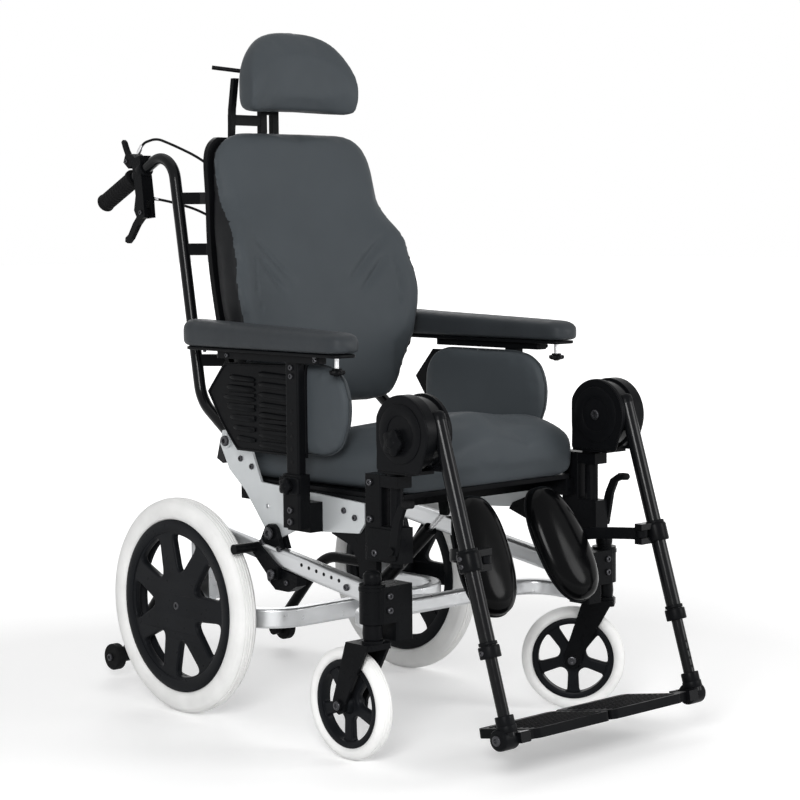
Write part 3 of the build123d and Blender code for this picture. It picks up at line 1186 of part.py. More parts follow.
# ---- writing the parts --------------------------------------------------------------
def main():
    os.makedirs("parts", exist_ok=True)
    rear, front = cross_tubes()
    save("side_rails", *both(side_rail()))
    save("base_cross_tubes", rear, front, spine(rear, front))
    save("caster_housings", *both(caster_housing()))
    save("axle_carriers", *both(axle_carrier()))
    save("antitip_tubes", *both(antitip_tube()))
    save("base_brackets", *both(tilt_bracket()), *both(seat_rest()), *both(lock_bracket()))
    save("side_plates", *both(side_plate()))
    save("seat_tube_frame", seat_tubes())
    save("seat_pan", seat_pan())
    save("seat_cushion", seat_cushion())
    save("legrest_receivers", *both(legrest_receiver()))
    save("armrest_sockets", *both(arm_socket()))
    save("tilt_strut_cylinder", strut_cylinder())
    save("tilt_strut_rod", strut_rod())
    tube = back_tube()
    shell = back_shell()
    save("push_tubes", *both(tube))
    save("back_shell", shell)
    save("back_cushion", back_cushion())
    brackets = shell_brackets(shell, tube)
    save("shell_brackets", *[piece for arm in brackets for piece in both(arm)], headrest_socket(shell))
    save("hand_grips", *both(grip() - tube))
    save("lever_housings", *both(lever_housing(tube)))
    save("release_cables", *[piece for cable in release_cables() for piece in both(cable)])
    save("headrest_post", headrest_post())
    save("headrest_bracket", headrest_bracket())
    save("headrest_pad", headrest_pad())
    for name, side in SIDES.items():
        tyre_body, rim_body = rear_wheel(side)
        save(f"rear_tyre_{name}", tyre_body)
        save(f"rear_rim_{name}", rim_body)
        tyre_body, rim_body = caster_wheel(name)
        save(f"caster_tyre_{name}", tyre_body)
        save(f"caster_rim_{name}", rim_body)
        save(f"caster_fork_{name}", caster_fork(name))
        save(f"antitip_wheel_{name}", on_side(antitip_wheel(), side))
        save(f"wheel_lock_{name}", on_side(lock_lever(), side))
        save(f"hand_lever_{name}", on_side(hand_lever(), side))
        save(f"trigger_{name}", on_side(trigger(), side))
        save(f"armrest_frame_{name}", on_side(arm_frame(), side), on_side(side_guard(), side))
        save(f"hip_pad_{name}", on_side(hip_pad(), side))
        pad, plate = arm_pad()
        save(f"arm_pad_{name}", on_side(pad, side), on_side(plate, side))
        save(f"legrest_hanger_{name}", on_side(hanger(), side))
        save(f"leg_tube_{name}", on_side(leg_tube(), side))
        save(f"foot_tube_{name}", on_side(foot_tube(), side))
        save(f"footplate_{name}", on_side(footplate(), side))
        save(f"calf_pad_{name}", on_side(calf_pad(), side), on_side(calf_arm(), side))
        save(f"release_lever_{name}", on_side(release_lever(), side))


main()
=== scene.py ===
"""Looks of the tilt in space wheelchair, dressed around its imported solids.

at() and axle_outline() take millimetres measured from the rear axle, with the sitter facing -Y,
and give metres in the row frame. Lengths that go straight into a mesh helper are in metres.
"""
import math

import bmesh
import bpy
from mathutils import Matrix, Vector


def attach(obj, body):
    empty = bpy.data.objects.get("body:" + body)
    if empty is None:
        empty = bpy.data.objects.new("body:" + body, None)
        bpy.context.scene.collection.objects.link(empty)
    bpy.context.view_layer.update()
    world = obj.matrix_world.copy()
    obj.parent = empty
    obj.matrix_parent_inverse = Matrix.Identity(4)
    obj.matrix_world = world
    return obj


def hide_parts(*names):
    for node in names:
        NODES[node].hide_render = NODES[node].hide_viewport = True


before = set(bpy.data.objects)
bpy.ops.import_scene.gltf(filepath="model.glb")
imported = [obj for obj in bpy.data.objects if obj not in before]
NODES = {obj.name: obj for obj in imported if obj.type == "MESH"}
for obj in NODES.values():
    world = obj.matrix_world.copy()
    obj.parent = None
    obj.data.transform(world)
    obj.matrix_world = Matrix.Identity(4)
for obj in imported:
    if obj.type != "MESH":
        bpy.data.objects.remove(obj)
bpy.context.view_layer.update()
SIDES = {"left": 1, "right": -1}
UP = Vector((0, 0, 1))
AXLE_Y = 0.240

# ---- where things are, in millimetres from the rear axle ------------------------------
WHEEL_X, WHEEL_Z = 278, 200
STEM_X, STEM_Y = 287, -535.5
CASTER_YAW = {"left": 38.0, "right": 0.0}
ARM_X, ARM_POST_Y = 270, -322
ARM_REAR, ARM_FRONT = -24.5, -467.5
POST_X, POST_Y = 241, -546
TILT_PIVOT, RECLINE_PIVOT = (-212, 352), (-80, 508)
KNEE_Y, KNEE_Z, KNEE_RADIUS, KNEE_BOTTOM, KNEE_REAR = -585.0, 557.0, 64.0, 493.0, -526.0
LEG_X, LEG_TOP_Z, LEG_FOOT_Z = 230.5, 583.0, 102.0
LEG_RUN = 152.0  # how far the knee end of the leg tube stands behind its foot end
FOOT_Y, FOOT_Z = -789.0, 80
FOOT_PITCH = -10
CALF_PIVOT = (194.0, -706.0)
PUSH_X = 214


def at(x, y, z):
    """Millimetres measured from the rear axle to metres in the row frame."""
    return Vector((x / 1000, y / 1000 + AXLE_Y, z / 1000))


def linked(name, data):
    """An object in the scene that holds the data given."""
    made = bpy.data.objects.new(name, data)
    bpy.context.scene.collection.objects.link(made)
    return made


# ---- camera ---------------------------------------------------------------------------
FOCAL_PIXELS, PICTURE_PIXELS, SENSOR = 2075.0, 800.0, 36.0
CAMERA_PLACE = (-2552.6, -3071.9, 896.8)
CAMERA_YAW, CAMERA_PITCH, CAMERA_ROLL = -42.59, 4.80, -0.46


def camera():
    """The photograph's camera, solved from the wheels, casters and armrests."""
    yaw, pitch, roll = math.radians(CAMERA_YAW), math.radians(CAMERA_PITCH), math.radians(CAMERA_ROLL)
    forward = Vector((-math.sin(yaw) * math.cos(pitch), math.cos(yaw) * math.cos(pitch), -math.sin(pitch)))
    right = Vector((math.cos(yaw), math.sin(yaw), 0))
    up = right.cross(forward)
    right_rolled = right * math.cos(roll) + up * math.sin(roll)
    up_rolled = up * math.cos(roll) - right * math.sin(roll)
    data = bpy.data.cameras.new("photo_camera")
    data.sensor_width = SENSOR
    data.sensor_fit = "HORIZONTAL"
    data.lens = FOCAL_PIXELS * SENSOR / PICTURE_PIXELS
    data.clip_end = 120
    camera_object = linked("photo_camera", data)
    rotation = Matrix((right_rolled, up_rolled, -forward)).transposed().to_4x4()
    camera_object.matrix_world = Matrix.Translation(at(*CAMERA_PLACE)) @ rotation
    bpy.context.scene.camera = camera_object


camera()


# ---- materials ------------------------------------------------------------------------
def feed(tree, node, inputs):
    """Gives a shader node its inputs: each is a plain value or another node's output."""
    for key, value in inputs.items():
        if isinstance(value, bpy.types.NodeSocket):
            tree.links.new(value, node.inputs[key])
        else:
            node.inputs[key].default_value = value
    return node


def add(tree, kind, inputs, **settings):
    """Adds a shader node of a kind with its settings and inputs."""
    node = tree.nodes.new("ShaderNode" + kind)
    for key, value in settings.items():
        setattr(node, key, value)
    return feed(tree, node, inputs)


def noise(tree, coords, scale, detail, rough=0.5):
    """Noise over the object's own coordinates."""
    return add(tree, "TexNoise", {"Scale": scale, "Detail": detail, "Roughness": rough,
                                  "Vector": coords}).outputs["Fac"]


def ramp(tree, value, low, high, out_low, out_high):
    """A value moved from one range into another."""
    return add(tree, "MapRange", {"From Min": low, "From Max": high, "To Min": out_low, "To Max": out_high,
                                  "Value": value}).outputs["Result"]


def shades(tree, value, dark, light):
    """A colour between a dark and a light shade."""
    return add(tree, "Mix", {6: (*dark, 1), 7: (*light, 1), 0: value}, data_type="RGBA").outputs[2]


def bump(tree, height, distance, strength, normal):
    """Fine relief on top of the normal given, if there is one."""
    inputs = {"Strength": strength, "Distance": distance, "Height": height}
    if normal is not None:
        inputs["Normal"] = normal
    return add(tree, "Bump", inputs).outputs["Normal"]


def surface(name, colour, rough, metal, spread, patch, grain, depth, strength, rough_spread,
            edge=0.0, weave=0.0, specular=0.5, stretch=(1, 1, 1)):
    """A procedural finish: patchy colour, uneven roughness, fine grain, rounded edges or a weave."""
    material = bpy.data.materials.new(name)
    material.use_nodes = True
    tree = material.node_tree
    coords = tree.nodes.new("ShaderNodeTexCoord").outputs["Object"]
    place = add(tree, "Mapping", {"Scale": stretch, "Vector": coords}).outputs["Vector"]
    broad = ramp(tree, noise(tree, place, patch, 4), 0.3, 0.7, 0.0, 1.0)
    uneven = noise(tree, place, patch * 6, 5)
    dark = [max(0.0, value * (1 - spread)) for value in colour]
    light = [min(1.0, value * (1 + spread)) for value in colour]
    normal = None
    if edge:
        normal = add(tree, "Bevel", {"Radius": edge}, samples=4).outputs["Normal"]
    if weave:
        waves = [add(tree, "TexWave", {"Scale": weave, "Distortion": 0.6, "Vector": place},
                     wave_type="BANDS", bands_direction=direction).outputs["Fac"] for direction in "XYZ"]
        total = waves[0]
        for wave in waves[1:]:
            total = add(tree, "Math", {0: total, 1: wave}, operation="ADD").outputs[0]
        normal = bump(tree, total, 0.00008, 0.25, normal)
    feed(tree, tree.nodes["Principled BSDF"], {
        "Base Color": shades(tree, broad, dark, light),
        "Roughness": ramp(tree, uneven, 0.3, 0.7, rough - rough_spread, rough + rough_spread),
        "Metallic": metal,
        "Specular IOR Level": specular,
        "Normal": bump(tree, noise(tree, place, grain, 3, 0.6), depth, strength, normal)})
    return material


# Each row: name, colour, roughness, metal, colour spread, patch scale, grain scale, grain depth,
# grain strength, roughness spread, and what else surface() takes.
FINISHES = {
    "silver": ("anodised_aluminium", (0.56, 0.57, 0.58), 0.33, 0.9, 0.05, 14, 1400, 0.00004, 0.3, 0.07,
               {"edge": 0.0012, "stretch": (1, 0.12, 1)}),
    "coat": ("black_powder_coat", (0.0040, 0.0043, 0.0050), 0.30, 0.0, 0.2, 12, 1100, 0.00010, 0.35, 0.06,
             {"edge": 0.0012, "specular": 0.04}),
    "tube": ("gloss_tube_coat", (0.0040, 0.0043, 0.0050), 0.17, 0.0, 0.2, 12, 1300, 0.00006, 0.25, 0.05,
             {"edge": 0.0008, "specular": 0.12}),
    "plastic": ("moulded_black_plastic", (0.0042, 0.0045, 0.0052), 0.36, 0.0, 0.18, 10, 1500, 0.00016, 0.4,
                0.08, {"edge": 0.0014, "specular": 0.04}),
    "plate": ("silver_grey_paint", (0.50, 0.52, 0.53), 0.38, 0.35, 0.05, 10, 1600, 0.00006, 0.3, 0.06,
              {"edge": 0.0008}),
    "rim": ("charcoal_rim_plastic", (0.0080, 0.0088, 0.0104), 0.34, 0.0, 0.15, 14, 1200, 0.00012, 0.35, 0.08,
            {"edge": 0.0014, "specular": 0.05}),
    "tyre": ("tyre_rubber", (0.86, 0.86, 0.85), 0.6, 0.0, 0.05, 22, 420, 0.0003, 0.35, 0.1,
             {"specular": 0.3}),
    "fabric": ("slate_coated_fabric", (0.052, 0.060, 0.0665), 0.52, 0.0, 0.07, 5, 1500, 0.00022, 0.45, 0.05,
               {"weave": 260, "specular": 0.10}),
    # Near-black cloth for the back cushion's sides: painted shade on the faces turned from the light.
    "panel": ("black_side_fabric", (0.0085, 0.0090, 0.0100), 0.6, 0.0, 0.1, 8, 1500, 0.00022, 0.45, 0.05,
              {"weave": 260, "specular": 0.12}),
    "piping": ("slate_piping", (0.030, 0.035, 0.039), 0.55, 0.0, 0.1, 20, 1600, 0.0002, 0.4, 0.05,
               {"specular": 0.25}),
    "armtop": ("grey_foam_skin", (0.030, 0.034, 0.038), 0.5, 0.0, 0.1, 8, 1300, 0.0002, 0.45, 0.06,
               {"specular": 0.13}),
    "gloss": ("gloss_black_cover", (0.0018, 0.0019, 0.0022), 0.16, 0.0, 0.2, 6, 700, 0.00012, 0.2, 0.04,
              {"specular": 0.06}),
    "rubber": ("black_rubber", (0.0080, 0.0080, 0.0085), 0.62, 0.0, 0.15, 14, 900, 0.0002, 0.4, 0.08,
               {"edge": 0.0006, "specular": 0.05}),
    "steel": ("zinc_steel", (0.56, 0.56, 0.57), 0.3, 1.0, 0.08, 30, 1500, 0.00004, 0.25, 0.08,
              {"edge": 0.0005}),
    "bolt": ("black_bolt_steel", (0.05, 0.05, 0.055), 0.3, 0.8, 0.1, 30, 1500, 0.00004, 0.25, 0.08,
             {"edge": 0.0004}),
}
M = {key: surface(*row[:-1], **row[-1]) for key, row in FINISHES.items()}

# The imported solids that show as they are, by finish; {} stands for a side.
SHOWN_SOLIDS = {
    "silver": "side_rails base_cross_tubes axle_carriers",
    "coat": ("caster_housings antitip_tubes base_brackets seat_tube_frame legrest_receivers "
             "tilt_strut_cylinder shell_brackets headrest_post headrest_bracket "
             "caster_fork_{} wheel_lock_{} legrest_hanger_{}"),
    "plate": "side_plates",
    "plastic": ("seat_pan armrest_sockets back_shell lever_housings "
                "hand_lever_{} trigger_{} armrest_frame_{} footplate_{} release_lever_{}"),
    "steel": "tilt_strut_rod",
    "tube": "push_tubes leg_tube_{} foot_tube_{}",
    "rubber": "release_cables antitip_wheel_{}",
}
for finish, names in SHOWN_SOLIDS.items():
    for name in names.split():
        for node in sorted({name.format(side) for side in SIDES}):
            for holder in NODES[node].material_slots:
                holder.material = M[finish]


# ---- mesh helpers ---------------------------------------------------------------------
def put(name, mesh, material, body, angle=38.0):
    """Links a mesh as an object with a finish, riding on a body."""
    work = bmesh.new()
    work.from_mesh(mesh)
    bmesh.ops.recalc_face_normals(work, faces=work.faces)
    work.to_mesh(mesh)
    work.free()
    mesh.materials.clear()
    mesh.materials.append(M[material])
    for polygon in mesh.polygons:
        polygon.use_smooth = True
    mesh.set_sharp_from_angle(angle=math.radians(angle))
    piece = linked(name, mesh)
    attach(piece, body)
    return piece


def ring_mesh(rings, loop=False):
    """Skins a list of closed rings that all have the same number of points."""
    count = len(rings[0])
    verts = [tuple(point) for ring in rings for point in ring]
    faces = []
    for index in range(len(rings) if loop else len(rings) - 1):
        low = index * count
        high = ((index + 1) % len(rings)) * count
        for step in range(count):
            turn = (step + 1) % count
            faces.append((low + step, low + turn, high + turn, high + step))
    if not loop:
        faces.append(tuple(range(count)))
        faces.append(tuple(range((len(rings) - 1) * count, len(rings) * count)))
    mesh = bpy.data.meshes.new("rings")
    mesh.from_pydata(verts, [], faces)
    return mesh


def axes(direction):
    """A frame whose Z lies along the direction."""
    z = Vector(direction).normalized()
    hint = UP if abs(z.dot(UP)) <= 0.98 else Vector((0, 1, 0))
    x = hint.cross(z).normalized()
    return Matrix((x, z.cross(x), z)).transposed().to_4x4()


def circle(radius, count):
    """Points on a circle."""
    turns = [2 * math.pi * step / count for step in range(count)]
    return [(radius * math.cos(angle), radius * math.sin(angle)) for angle in turns]


def lathe(centre, direction, profile, segments=48, wobble=None, closed=False):
    """Turns (radius, height) points about an axis; wobble changes a radius by angle."""
    place = Matrix.Translation(centre) @ axes(direction)
    rings = []
    for radius, height in profile:
        ring = []
        for step in range(segments):
            angle = 2 * math.pi * step / segments
            reach = radius * (wobble(angle, radius) if wobble else 1.0)
            ring.append(place @ Vector((reach * math.cos(angle), reach * math.sin(angle), height)))
        rings.append(ring)
    return ring_mesh(rings, loop=closed)


def turned(name, centre, direction, profile, segments, material, body, angle=40, **shape):
    """A piece turned about an axis."""
    return put(name, lathe(centre, direction, profile, segments, **shape), material, body, angle)


def merge(meshes):
    """One mesh out of several."""
    work = bmesh.new()
    for mesh in meshes:
        work.from_mesh(mesh)
        bpy.data.meshes.remove(mesh)
    mesh = bpy.data.meshes.new("merged")
    work.to_mesh(mesh)
    work.free()
    return mesh


def flat_piece(outer, holes, thick, bevel, place):
    """A plate with rounded edges: closed outlines in its own plane, holes included."""
    curve = bpy.data.curves.new("plate", "CURVE")
    curve.dimensions = "2D"
    curve.fill_mode = "BOTH"
    for outline in [outer] + holes:
        spline = curve.splines.new("POLY")
        spline.points.add(len(outline) - 1)
        for point, (x, y) in zip(spline.points, outline):
            point.co = (x, y, 0, 1)
        spline.use_cyclic_u = True
    curve.extrude = max(thick / 2 - bevel, 0.0001)
    curve.bevel_depth = bevel
    curve.bevel_resolution = 2
    curve.offset = -bevel
    holder = linked("plate", curve)
    mesh = bpy.data.meshes.new_from_object(holder.evaluated_get(bpy.context.evaluated_depsgraph_get()))
    bpy.data.objects.remove(holder)
    mesh.transform(place)
    return mesh


def tube_mesh(points, radius, segments=20):
    """A round bar along points."""
    points = [Vector(point) for point in points]
    rings = []
    for index, point in enumerate(points):
        before = points[max(index - 1, 0)]
        after = points[min(index + 1, len(points) - 1)]
        frame_here = axes(after - before)
        rings.append([point + (frame_here @ Vector((x, y, 0))) for x, y in circle(radius, segments)])
    return ring_mesh(rings)


def smooth_path(points, steps):
    """Points along a rounded line through the given ones."""
    padded = [points[0] * 2 - points[1]] + points + [points[-1] * 2 - points[-2]]
    line = []
    for index in range(1, len(padded) - 2):
        a, b, c, d = padded[index - 1:index + 3]
        for step in range(steps):
            t = step / steps
            line.append(0.5 * ((2 * b) + (c - a) * t + (2 * a - 5 * b + 4 * c - d) * t ** 2
                               + (3 * b - a - 3 * c + d) * t ** 3))
    line.append(points[-1])
    return line


def rounded(points, radius, count=96):
    """A closed outline walked at an even pace, its corners rounded over about that radius."""
    corners = [Vector(point).to_2d() for point in points]
    after = corners[1:] + corners[:1]
    lengths = [(end - start).length for start, end in zip(corners, after)]
    total = sum(lengths)
    line = []
    for step in range(count):
        left = total * step / count
        for index, length in enumerate(lengths):
            if left <= length:
                break
            left -= length
        line.append(corners[index].lerp(after[index], left / max(lengths[index], 1e-9)))
    reach = max(1, round(radius * 1.1 / (total / count)))
    near = range(-reach // 2, reach // 2 + 1)
    for _ in range(2):
        line = [sum((line[(i + k) % count] for k in near), Vector((0, 0))) / len(near) for i in range(count)]
    return [(point.x, point.y) for point in line]


YZ_PLANE = Matrix(((0, 0, 1, 0), (1, 0, 0, 0), (0, 1, 0, 0), (0, 0, 0, 1)))
FACE_DOWN = Matrix(((0, 1, 0, 0), (1, 0, 0, 0), (0, 0, -1, 0), (0, 0, 0, 1)))


def axle_outline(points, radius, count):
    """A rounded outline in metres: each point's y counts from the rear axle, in millimetres."""
    return rounded([(y / 1000 + AXLE_Y, across / 1000) for y, across in points], radius, count)


def side_plane(x):
    """Lays an outline into the upright plane at x metres."""
    return Matrix.Translation(Vector((x, 0, 0))) @ YZ_PLANE


def rim_bar(outline, place, radius, segments):
    """A round bar laid along a closed outline."""
    return tube_mesh([place @ Vector((x, y, 0)) for x, y in outline + outline[:1]], radius, segments)


def superellipse(angle, power):
    """A point of a rounded square: x and y between -1 and 1."""
    c, s = math.cos(angle), math.sin(angle)
    return (math.copysign(abs(c) ** (2 / power), c), math.copysign(abs(s) ** (2 / power), s))


def rounded_square(count, power, power_below=None):
    """The points of a rounded square, which may be squarer below."""
    angles = [2 * math.pi * step / count for step in range(count)]
    return [superellipse(angle, power if power_below is None or math.sin(angle) > 0 else power_below)
            for angle in angles]


# ---- small hardware -------------------------------------------------------------------
def socket_bolt(name, centre, direction, radius, height, body):
    """Round-headed bolt with a hexagon socket, standing on a face."""
    def hexagon(angle, r):
        if r > radius * 0.56:
            return 1.0
        folded = (angle % (math.pi / 3)) - math.pi / 6
        return math.cos(math.pi / 6) / math.cos(folded)
    profile = [(radius, 0), (radius, height * 0.55), (radius * 0.93, height * 0.82), (radius * 0.78, height),
               (radius * 0.55, height), (radius * 0.5, height * 0.95), (radius * 0.5, height * 0.35),
               (radius * 0.02, height * 0.3)]
    turned(name, centre, direction, profile, 36, "bolt", body, 30, wobble=hexagon)


def outer_bolts(name, side, body, x, places, radius, height, tag=None):
    """Socket bolts that face outwards, at (y, z) places; tag puts how far ahead or how high in the name."""
    sign = SIDES[side]
    for y, z in places:
        ending = {"ahead": f"_{-y}", "height": f"_{z}", None: ""}[tag]
        socket_bolt(f"{name}_{side}{ending}", at(x * sign, y, z), Vector((sign, 0, 0)), radius, height, body)


def star_knob(name, centre, direction, radius, height, body):
    """Star grip knob with five lobes and a raised centre."""
    def lobe(angle, r):
        return 1.0 + 0.13 * min(1.0, r / radius) * math.cos(5 * angle)
    profile = [(radius * 0.55, 0), (radius * 0.6, height * 0.2), (radius * 0.86, height * 0.28),
               (radius * 0.92, height * 0.45), (radius * 0.9, height * 0.72), (radius * 0.74, height * 0.86),
               (radius * 0.42, height * 0.9), (radius * 0.36, height), (radius * 0.28, height * 1.04),
               (radius * 0.01, height * 1.04)]
    turned(name, centre, direction, profile, 60, "plastic", body, wobble=lobe)


def round_cap(name, centre, direction, radius, height, body, material="plastic"):
    """Plain domed plug or cap, and the flat dark discs of painted shade over holes."""
    profile = [(radius, 0), (radius, height * 0.5), (radius * 0.9, height * 0.85), (radius * 0.6, height),
               (radius * 0.01, height * 1.05)]
    turned(name, centre, direction, profile, 40, material, body)


def clamp_band(name, centre, direction, radius, width, body, material="plastic"):
    """Rounded collar round a tube."""
    half = width / 2
    rim = [(radius * 0.72, half), (radius * 0.97, half), (radius * 1.02, half * 0.92),
           (radius * 1.04, half * 0.78)]
    profile = [(reach, -height) for reach, height in rim] + rim[::-1]
    turned(name, centre, direction, profile, 40, material, body, closed=True)


# ---- wheels ---------------------------------------------------------------------------
def spoke_holes(inner, outer, count, phase, half_share, corner, foot_share):
    """Rounded openings between the spokes, wider towards the rim."""
    holes = []
    arc_steps = 12
    for index in range(count):
        middle = math.radians(phase) + 2 * math.pi * (index + 0.5) / count
        half = 2 * math.pi / count * half_share
        foot = half * foot_share * outer / inner * 0.5
        corners = [(outer, middle - half + 2 * half * step / arc_steps) for step in range(arc_steps + 1)]
        corners += [(inner, middle + foot), (inner, middle - foot)]
        holes.append(rounded([(r * math.cos(angle), r * math.sin(angle)) for r, angle in corners], corner))
    return holes


def dish(mesh, inner, outer, depth, centre):
    """Moves a web outwards towards the hub."""
    for vertex in mesh.vertices:
        reach = math.hypot(vertex.co.y - centre.y, vertex.co.z - centre.z)
        share = 1 - min(max((reach - inner) / (outer - inner), 0), 1)
        vertex.co.x += depth * share ** 1.2


def tyre_section(seat, shape, half):
    """A tyre's closed section from its seat and one side's (radius, share of the half width) points."""
    profile = [(radius, half * share) for radius, share in [seat] + shape]
    return profile + [(radius, -height) for radius, height in reversed(profile)]


SPOKES, SPOKE_PHASE = 7, 178.7
TYRE_SHAPE = [
    (0.1605, 0.62), (0.1625, 0.80), (0.168, 0.93), (0.176, 0.995), (0.184, 0.97), (0.190, 0.86),
    (0.1925, 0.80), (0.1935, 0.74), (0.1965, 0.62), (0.1985, 0.47), (0.1985, 0.43), (0.1975, 0.41),
    (0.1975, 0.36), (0.1990, 0.34), (0.1998, 0.20), (0.1998, 0.16), (0.1986, 0.14), (0.1986, 0.08),
    (0.1998, 0.06)]


def rear_wheel(side):
    """Grooved pale tyre, and a dark moulded rim with seven spokes and a large hub."""
    sign = SIDES[side]
    centre = at(WHEEL_X * sign, 0, WHEEL_Z)
    out = Vector((sign, 0, 0))
    body = f"rear_wheel_{side}"
    section = tyre_section((0.159, 0.5), TYRE_SHAPE, 0.023)
    tyre = turned(f"tyre_{side}", centre, out, section, 160, "tyre", body, 50, closed=True)
    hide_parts(f"rear_tyre_{side}")
    holes = spoke_holes(0.064, 0.1330, SPOKES, SPOKE_PHASE, 0.325, 0.017, 0.22)
    place = Matrix.Translation(centre + out * 0.0085) @ YZ_PLANE
    web = flat_piece(circle(0.150, 96), holes, 0.014, 0.0034, place)
    dish(web, 0.034, 0.137, 0.003 * sign, centre)
    ring = lathe(centre, out, [
        (0.1375, -0.0175), (0.1375, -0.012), (0.143, -0.006), (0.143, 0.006), (0.1375, 0.012),
        (0.1375, 0.0172), (0.1395, 0.0182), (0.152, 0.0184), (0.1575, 0.0180), (0.1598, 0.0165),
        (0.1598, 0.010), (0.156, 0.004), (0.156, -0.004), (0.1598, -0.010), (0.1598, -0.0165),
        (0.1575, -0.0180), (0.1395, -0.0182)], 120, closed=True)
    hub = lathe(centre, out, [
        (0.0301, -0.0300), (0.0315, -0.0285), (0.033, 0.0), (0.034, 0.0085), (0.0335, 0.0130),
        (0.0305, 0.0148), (0.0215, 0.0150), (0.0205, 0.0140), (0.0195, 0.0138), (0.0185, 0.0150),
        (0.0120, 0.0150), (0.0115, 0.0144), (0.001, 0.0143)], 64)
    rim = put(f"rim_{side}", merge([web, ring, hub]), "rim", body, 35)
    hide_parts(f"rear_rim_{side}")
    socket_bolt(f"axle_bolt_{side}", centre + out * 0.0142, out, 0.0075, 0.004, body)
    for index in range(SPOKES):
        angle = math.radians(SPOKE_PHASE) + 2 * math.pi * index / SPOKES
        spot = centre + out * 0.0146 + Vector((0, math.cos(angle), math.sin(angle))) * 0.026
        round_cap(f"hub_dimple_{side}_{index}", spot, out, 0.0028, 0.0014, body, "bolt")


CASTER_TYRE_SHAPE = [
    (0.0755, 0.6), (0.0768, 0.78), (0.081, 0.96), (0.0855, 0.985), (0.0900, 0.86), (0.0935, 0.66),
    (0.0950, 0.48), (0.0950, 0.44), (0.0943, 0.42), (0.0943, 0.36), (0.0953, 0.34), (0.0959, 0.12),
    (0.0959, 0.08), (0.0953, 0.05)]


def caster(side):
    """Small pale tyre and five-spoked rim, turned with its fork."""
    turn = Matrix.Rotation(math.radians(CASTER_YAW[side]), 4, "Z")
    centre = at(STEM_X * SIDES[side], STEM_Y, 0) + (turn @ Vector((0, 0.057, 0.096)))
    out = turn @ Vector((1, 0, 0))
    body = f"caster_wheel_{side}"
    section = tyre_section((0.0748, 0.45), CASTER_TYRE_SHAPE, 0.016)
    tyre = turned(f"small_tyre_{side}", centre, out, section, 120, "tyre", body, 50, closed=True)
    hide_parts(f"caster_tyre_{side}")
    holes = spoke_holes(0.0270, 0.0645, 5, -90.0, 0.36, 0.008, 0.5)
    web = flat_piece(circle(0.0725, 72), holes, 0.013, 0.0034, Matrix.Translation(centre) @ turn @ YZ_PLANE)
    ring = lathe(centre, out, [
        (0.0645, -0.0100), (0.0640, -0.004), (0.0640, 0.004), (0.0645, 0.0100), (0.0665, 0.0112),
        (0.0735, 0.0112), (0.0757, 0.0098), (0.0757, 0.005), (0.0757, -0.005), (0.0757, -0.0098),
        (0.0735, -0.0112), (0.0665, -0.0112)], 96, closed=True)
    hub = lathe(centre, out, [
        (0.0130, -0.0188), (0.0160, -0.0180), (0.0180, -0.008), (0.0185, 0.0), (0.0180, 0.008),
        (0.0160, 0.0180), (0.0130, 0.0188)], 48)
    rim = put(f"small_rim_{side}", merge([web, ring, hub]), "rim", body, 35)
    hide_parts(f"caster_rim_{side}")
    for direction in (1, -1):
        spot = centre + out * direction * 0.0308
        socket_bolt(f"fork_bolt_{side}_{direction + 1}", spot, out * direction, 0.0078, 0.0028,
                    f"caster_swivel_{side}")


# ---- soft goods -----------------------------------------------------------------------
COVER_CLOTH = {"use_pressure": True, "quality": 6, "tension_stiffness": 25, "compression_stiffness": 25,
               "bending_stiffness": 2.0}


def swell(mesh, pressure, cap, voxel, frames):
    """Blows a closed cover up a little, like foam under a tight cover."""
    scene = bpy.context.scene
    source = linked("swell", mesh)
    remesh = source.modifiers.new("remesh", "REMESH")
    remesh.mode = "VOXEL"
    remesh.voxel_size = voxel
    graph = bpy.context.evaluated_depsgraph_get()
    base = bpy.data.meshes.new_from_object(source.evaluated_get(graph))
    bpy.data.objects.remove(source)
    body = linked("swell", base)
    cloth = body.modifiers.new("cloth", "CLOTH")
    for key, value in COVER_CLOTH.items():
        setattr(cloth.settings, key, value)
    cloth.settings.uniform_pressure_force = pressure
    cloth.settings.effector_weights.gravity = 0
    cloth.collision_settings.use_collision = False
    start = [vertex.co.copy() for vertex in base.vertices]
    for number in range(1, frames + 1):
        scene.frame_set(number)
    graph = bpy.context.evaluated_depsgraph_get()
    swollen = body.evaluated_get(graph).to_mesh()
    ends = [vertex.co.copy() for vertex in swollen.vertices]
    body.evaluated_get(graph).to_mesh_clear()
    body.modifiers.remove(cloth)
    scene.frame_set(1)
    for vertex, origin, end in zip(base.vertices, start, ends):
        move = end - origin
        if move.length > cap:
            move = move.normalized() * cap
        vertex.co = origin + move
    bpy.data.objects.remove(body)
    return base


def smooth_mesh(mesh, rounds):
    """Evens out a mesh's points a few times over."""
    work = bmesh.new()
    work.from_mesh(mesh)
    for _ in range(rounds):
        bmesh.ops.smooth_vert(work, verts=work.verts, factor=0.5, use_axis_x=True, use_axis_y=True,
                              use_axis_z=True)
    work.to_mesh(mesh)
    work.free()


def slope(key_a, a, key_b, b, key_c, c):
    """Slope of a smooth curve at its middle point, zero where the curve turns back there."""
    if key_b == key_a or key_c == key_b:
        return (c - a) / max(key_c - key_a, 1e-9)
    left, right = (b - a) / (key_b - key_a), (c - b) / (key_c - key_b)
    if left * right <= 0:
        return 0.0
    return 2 * left * right / (left + right)


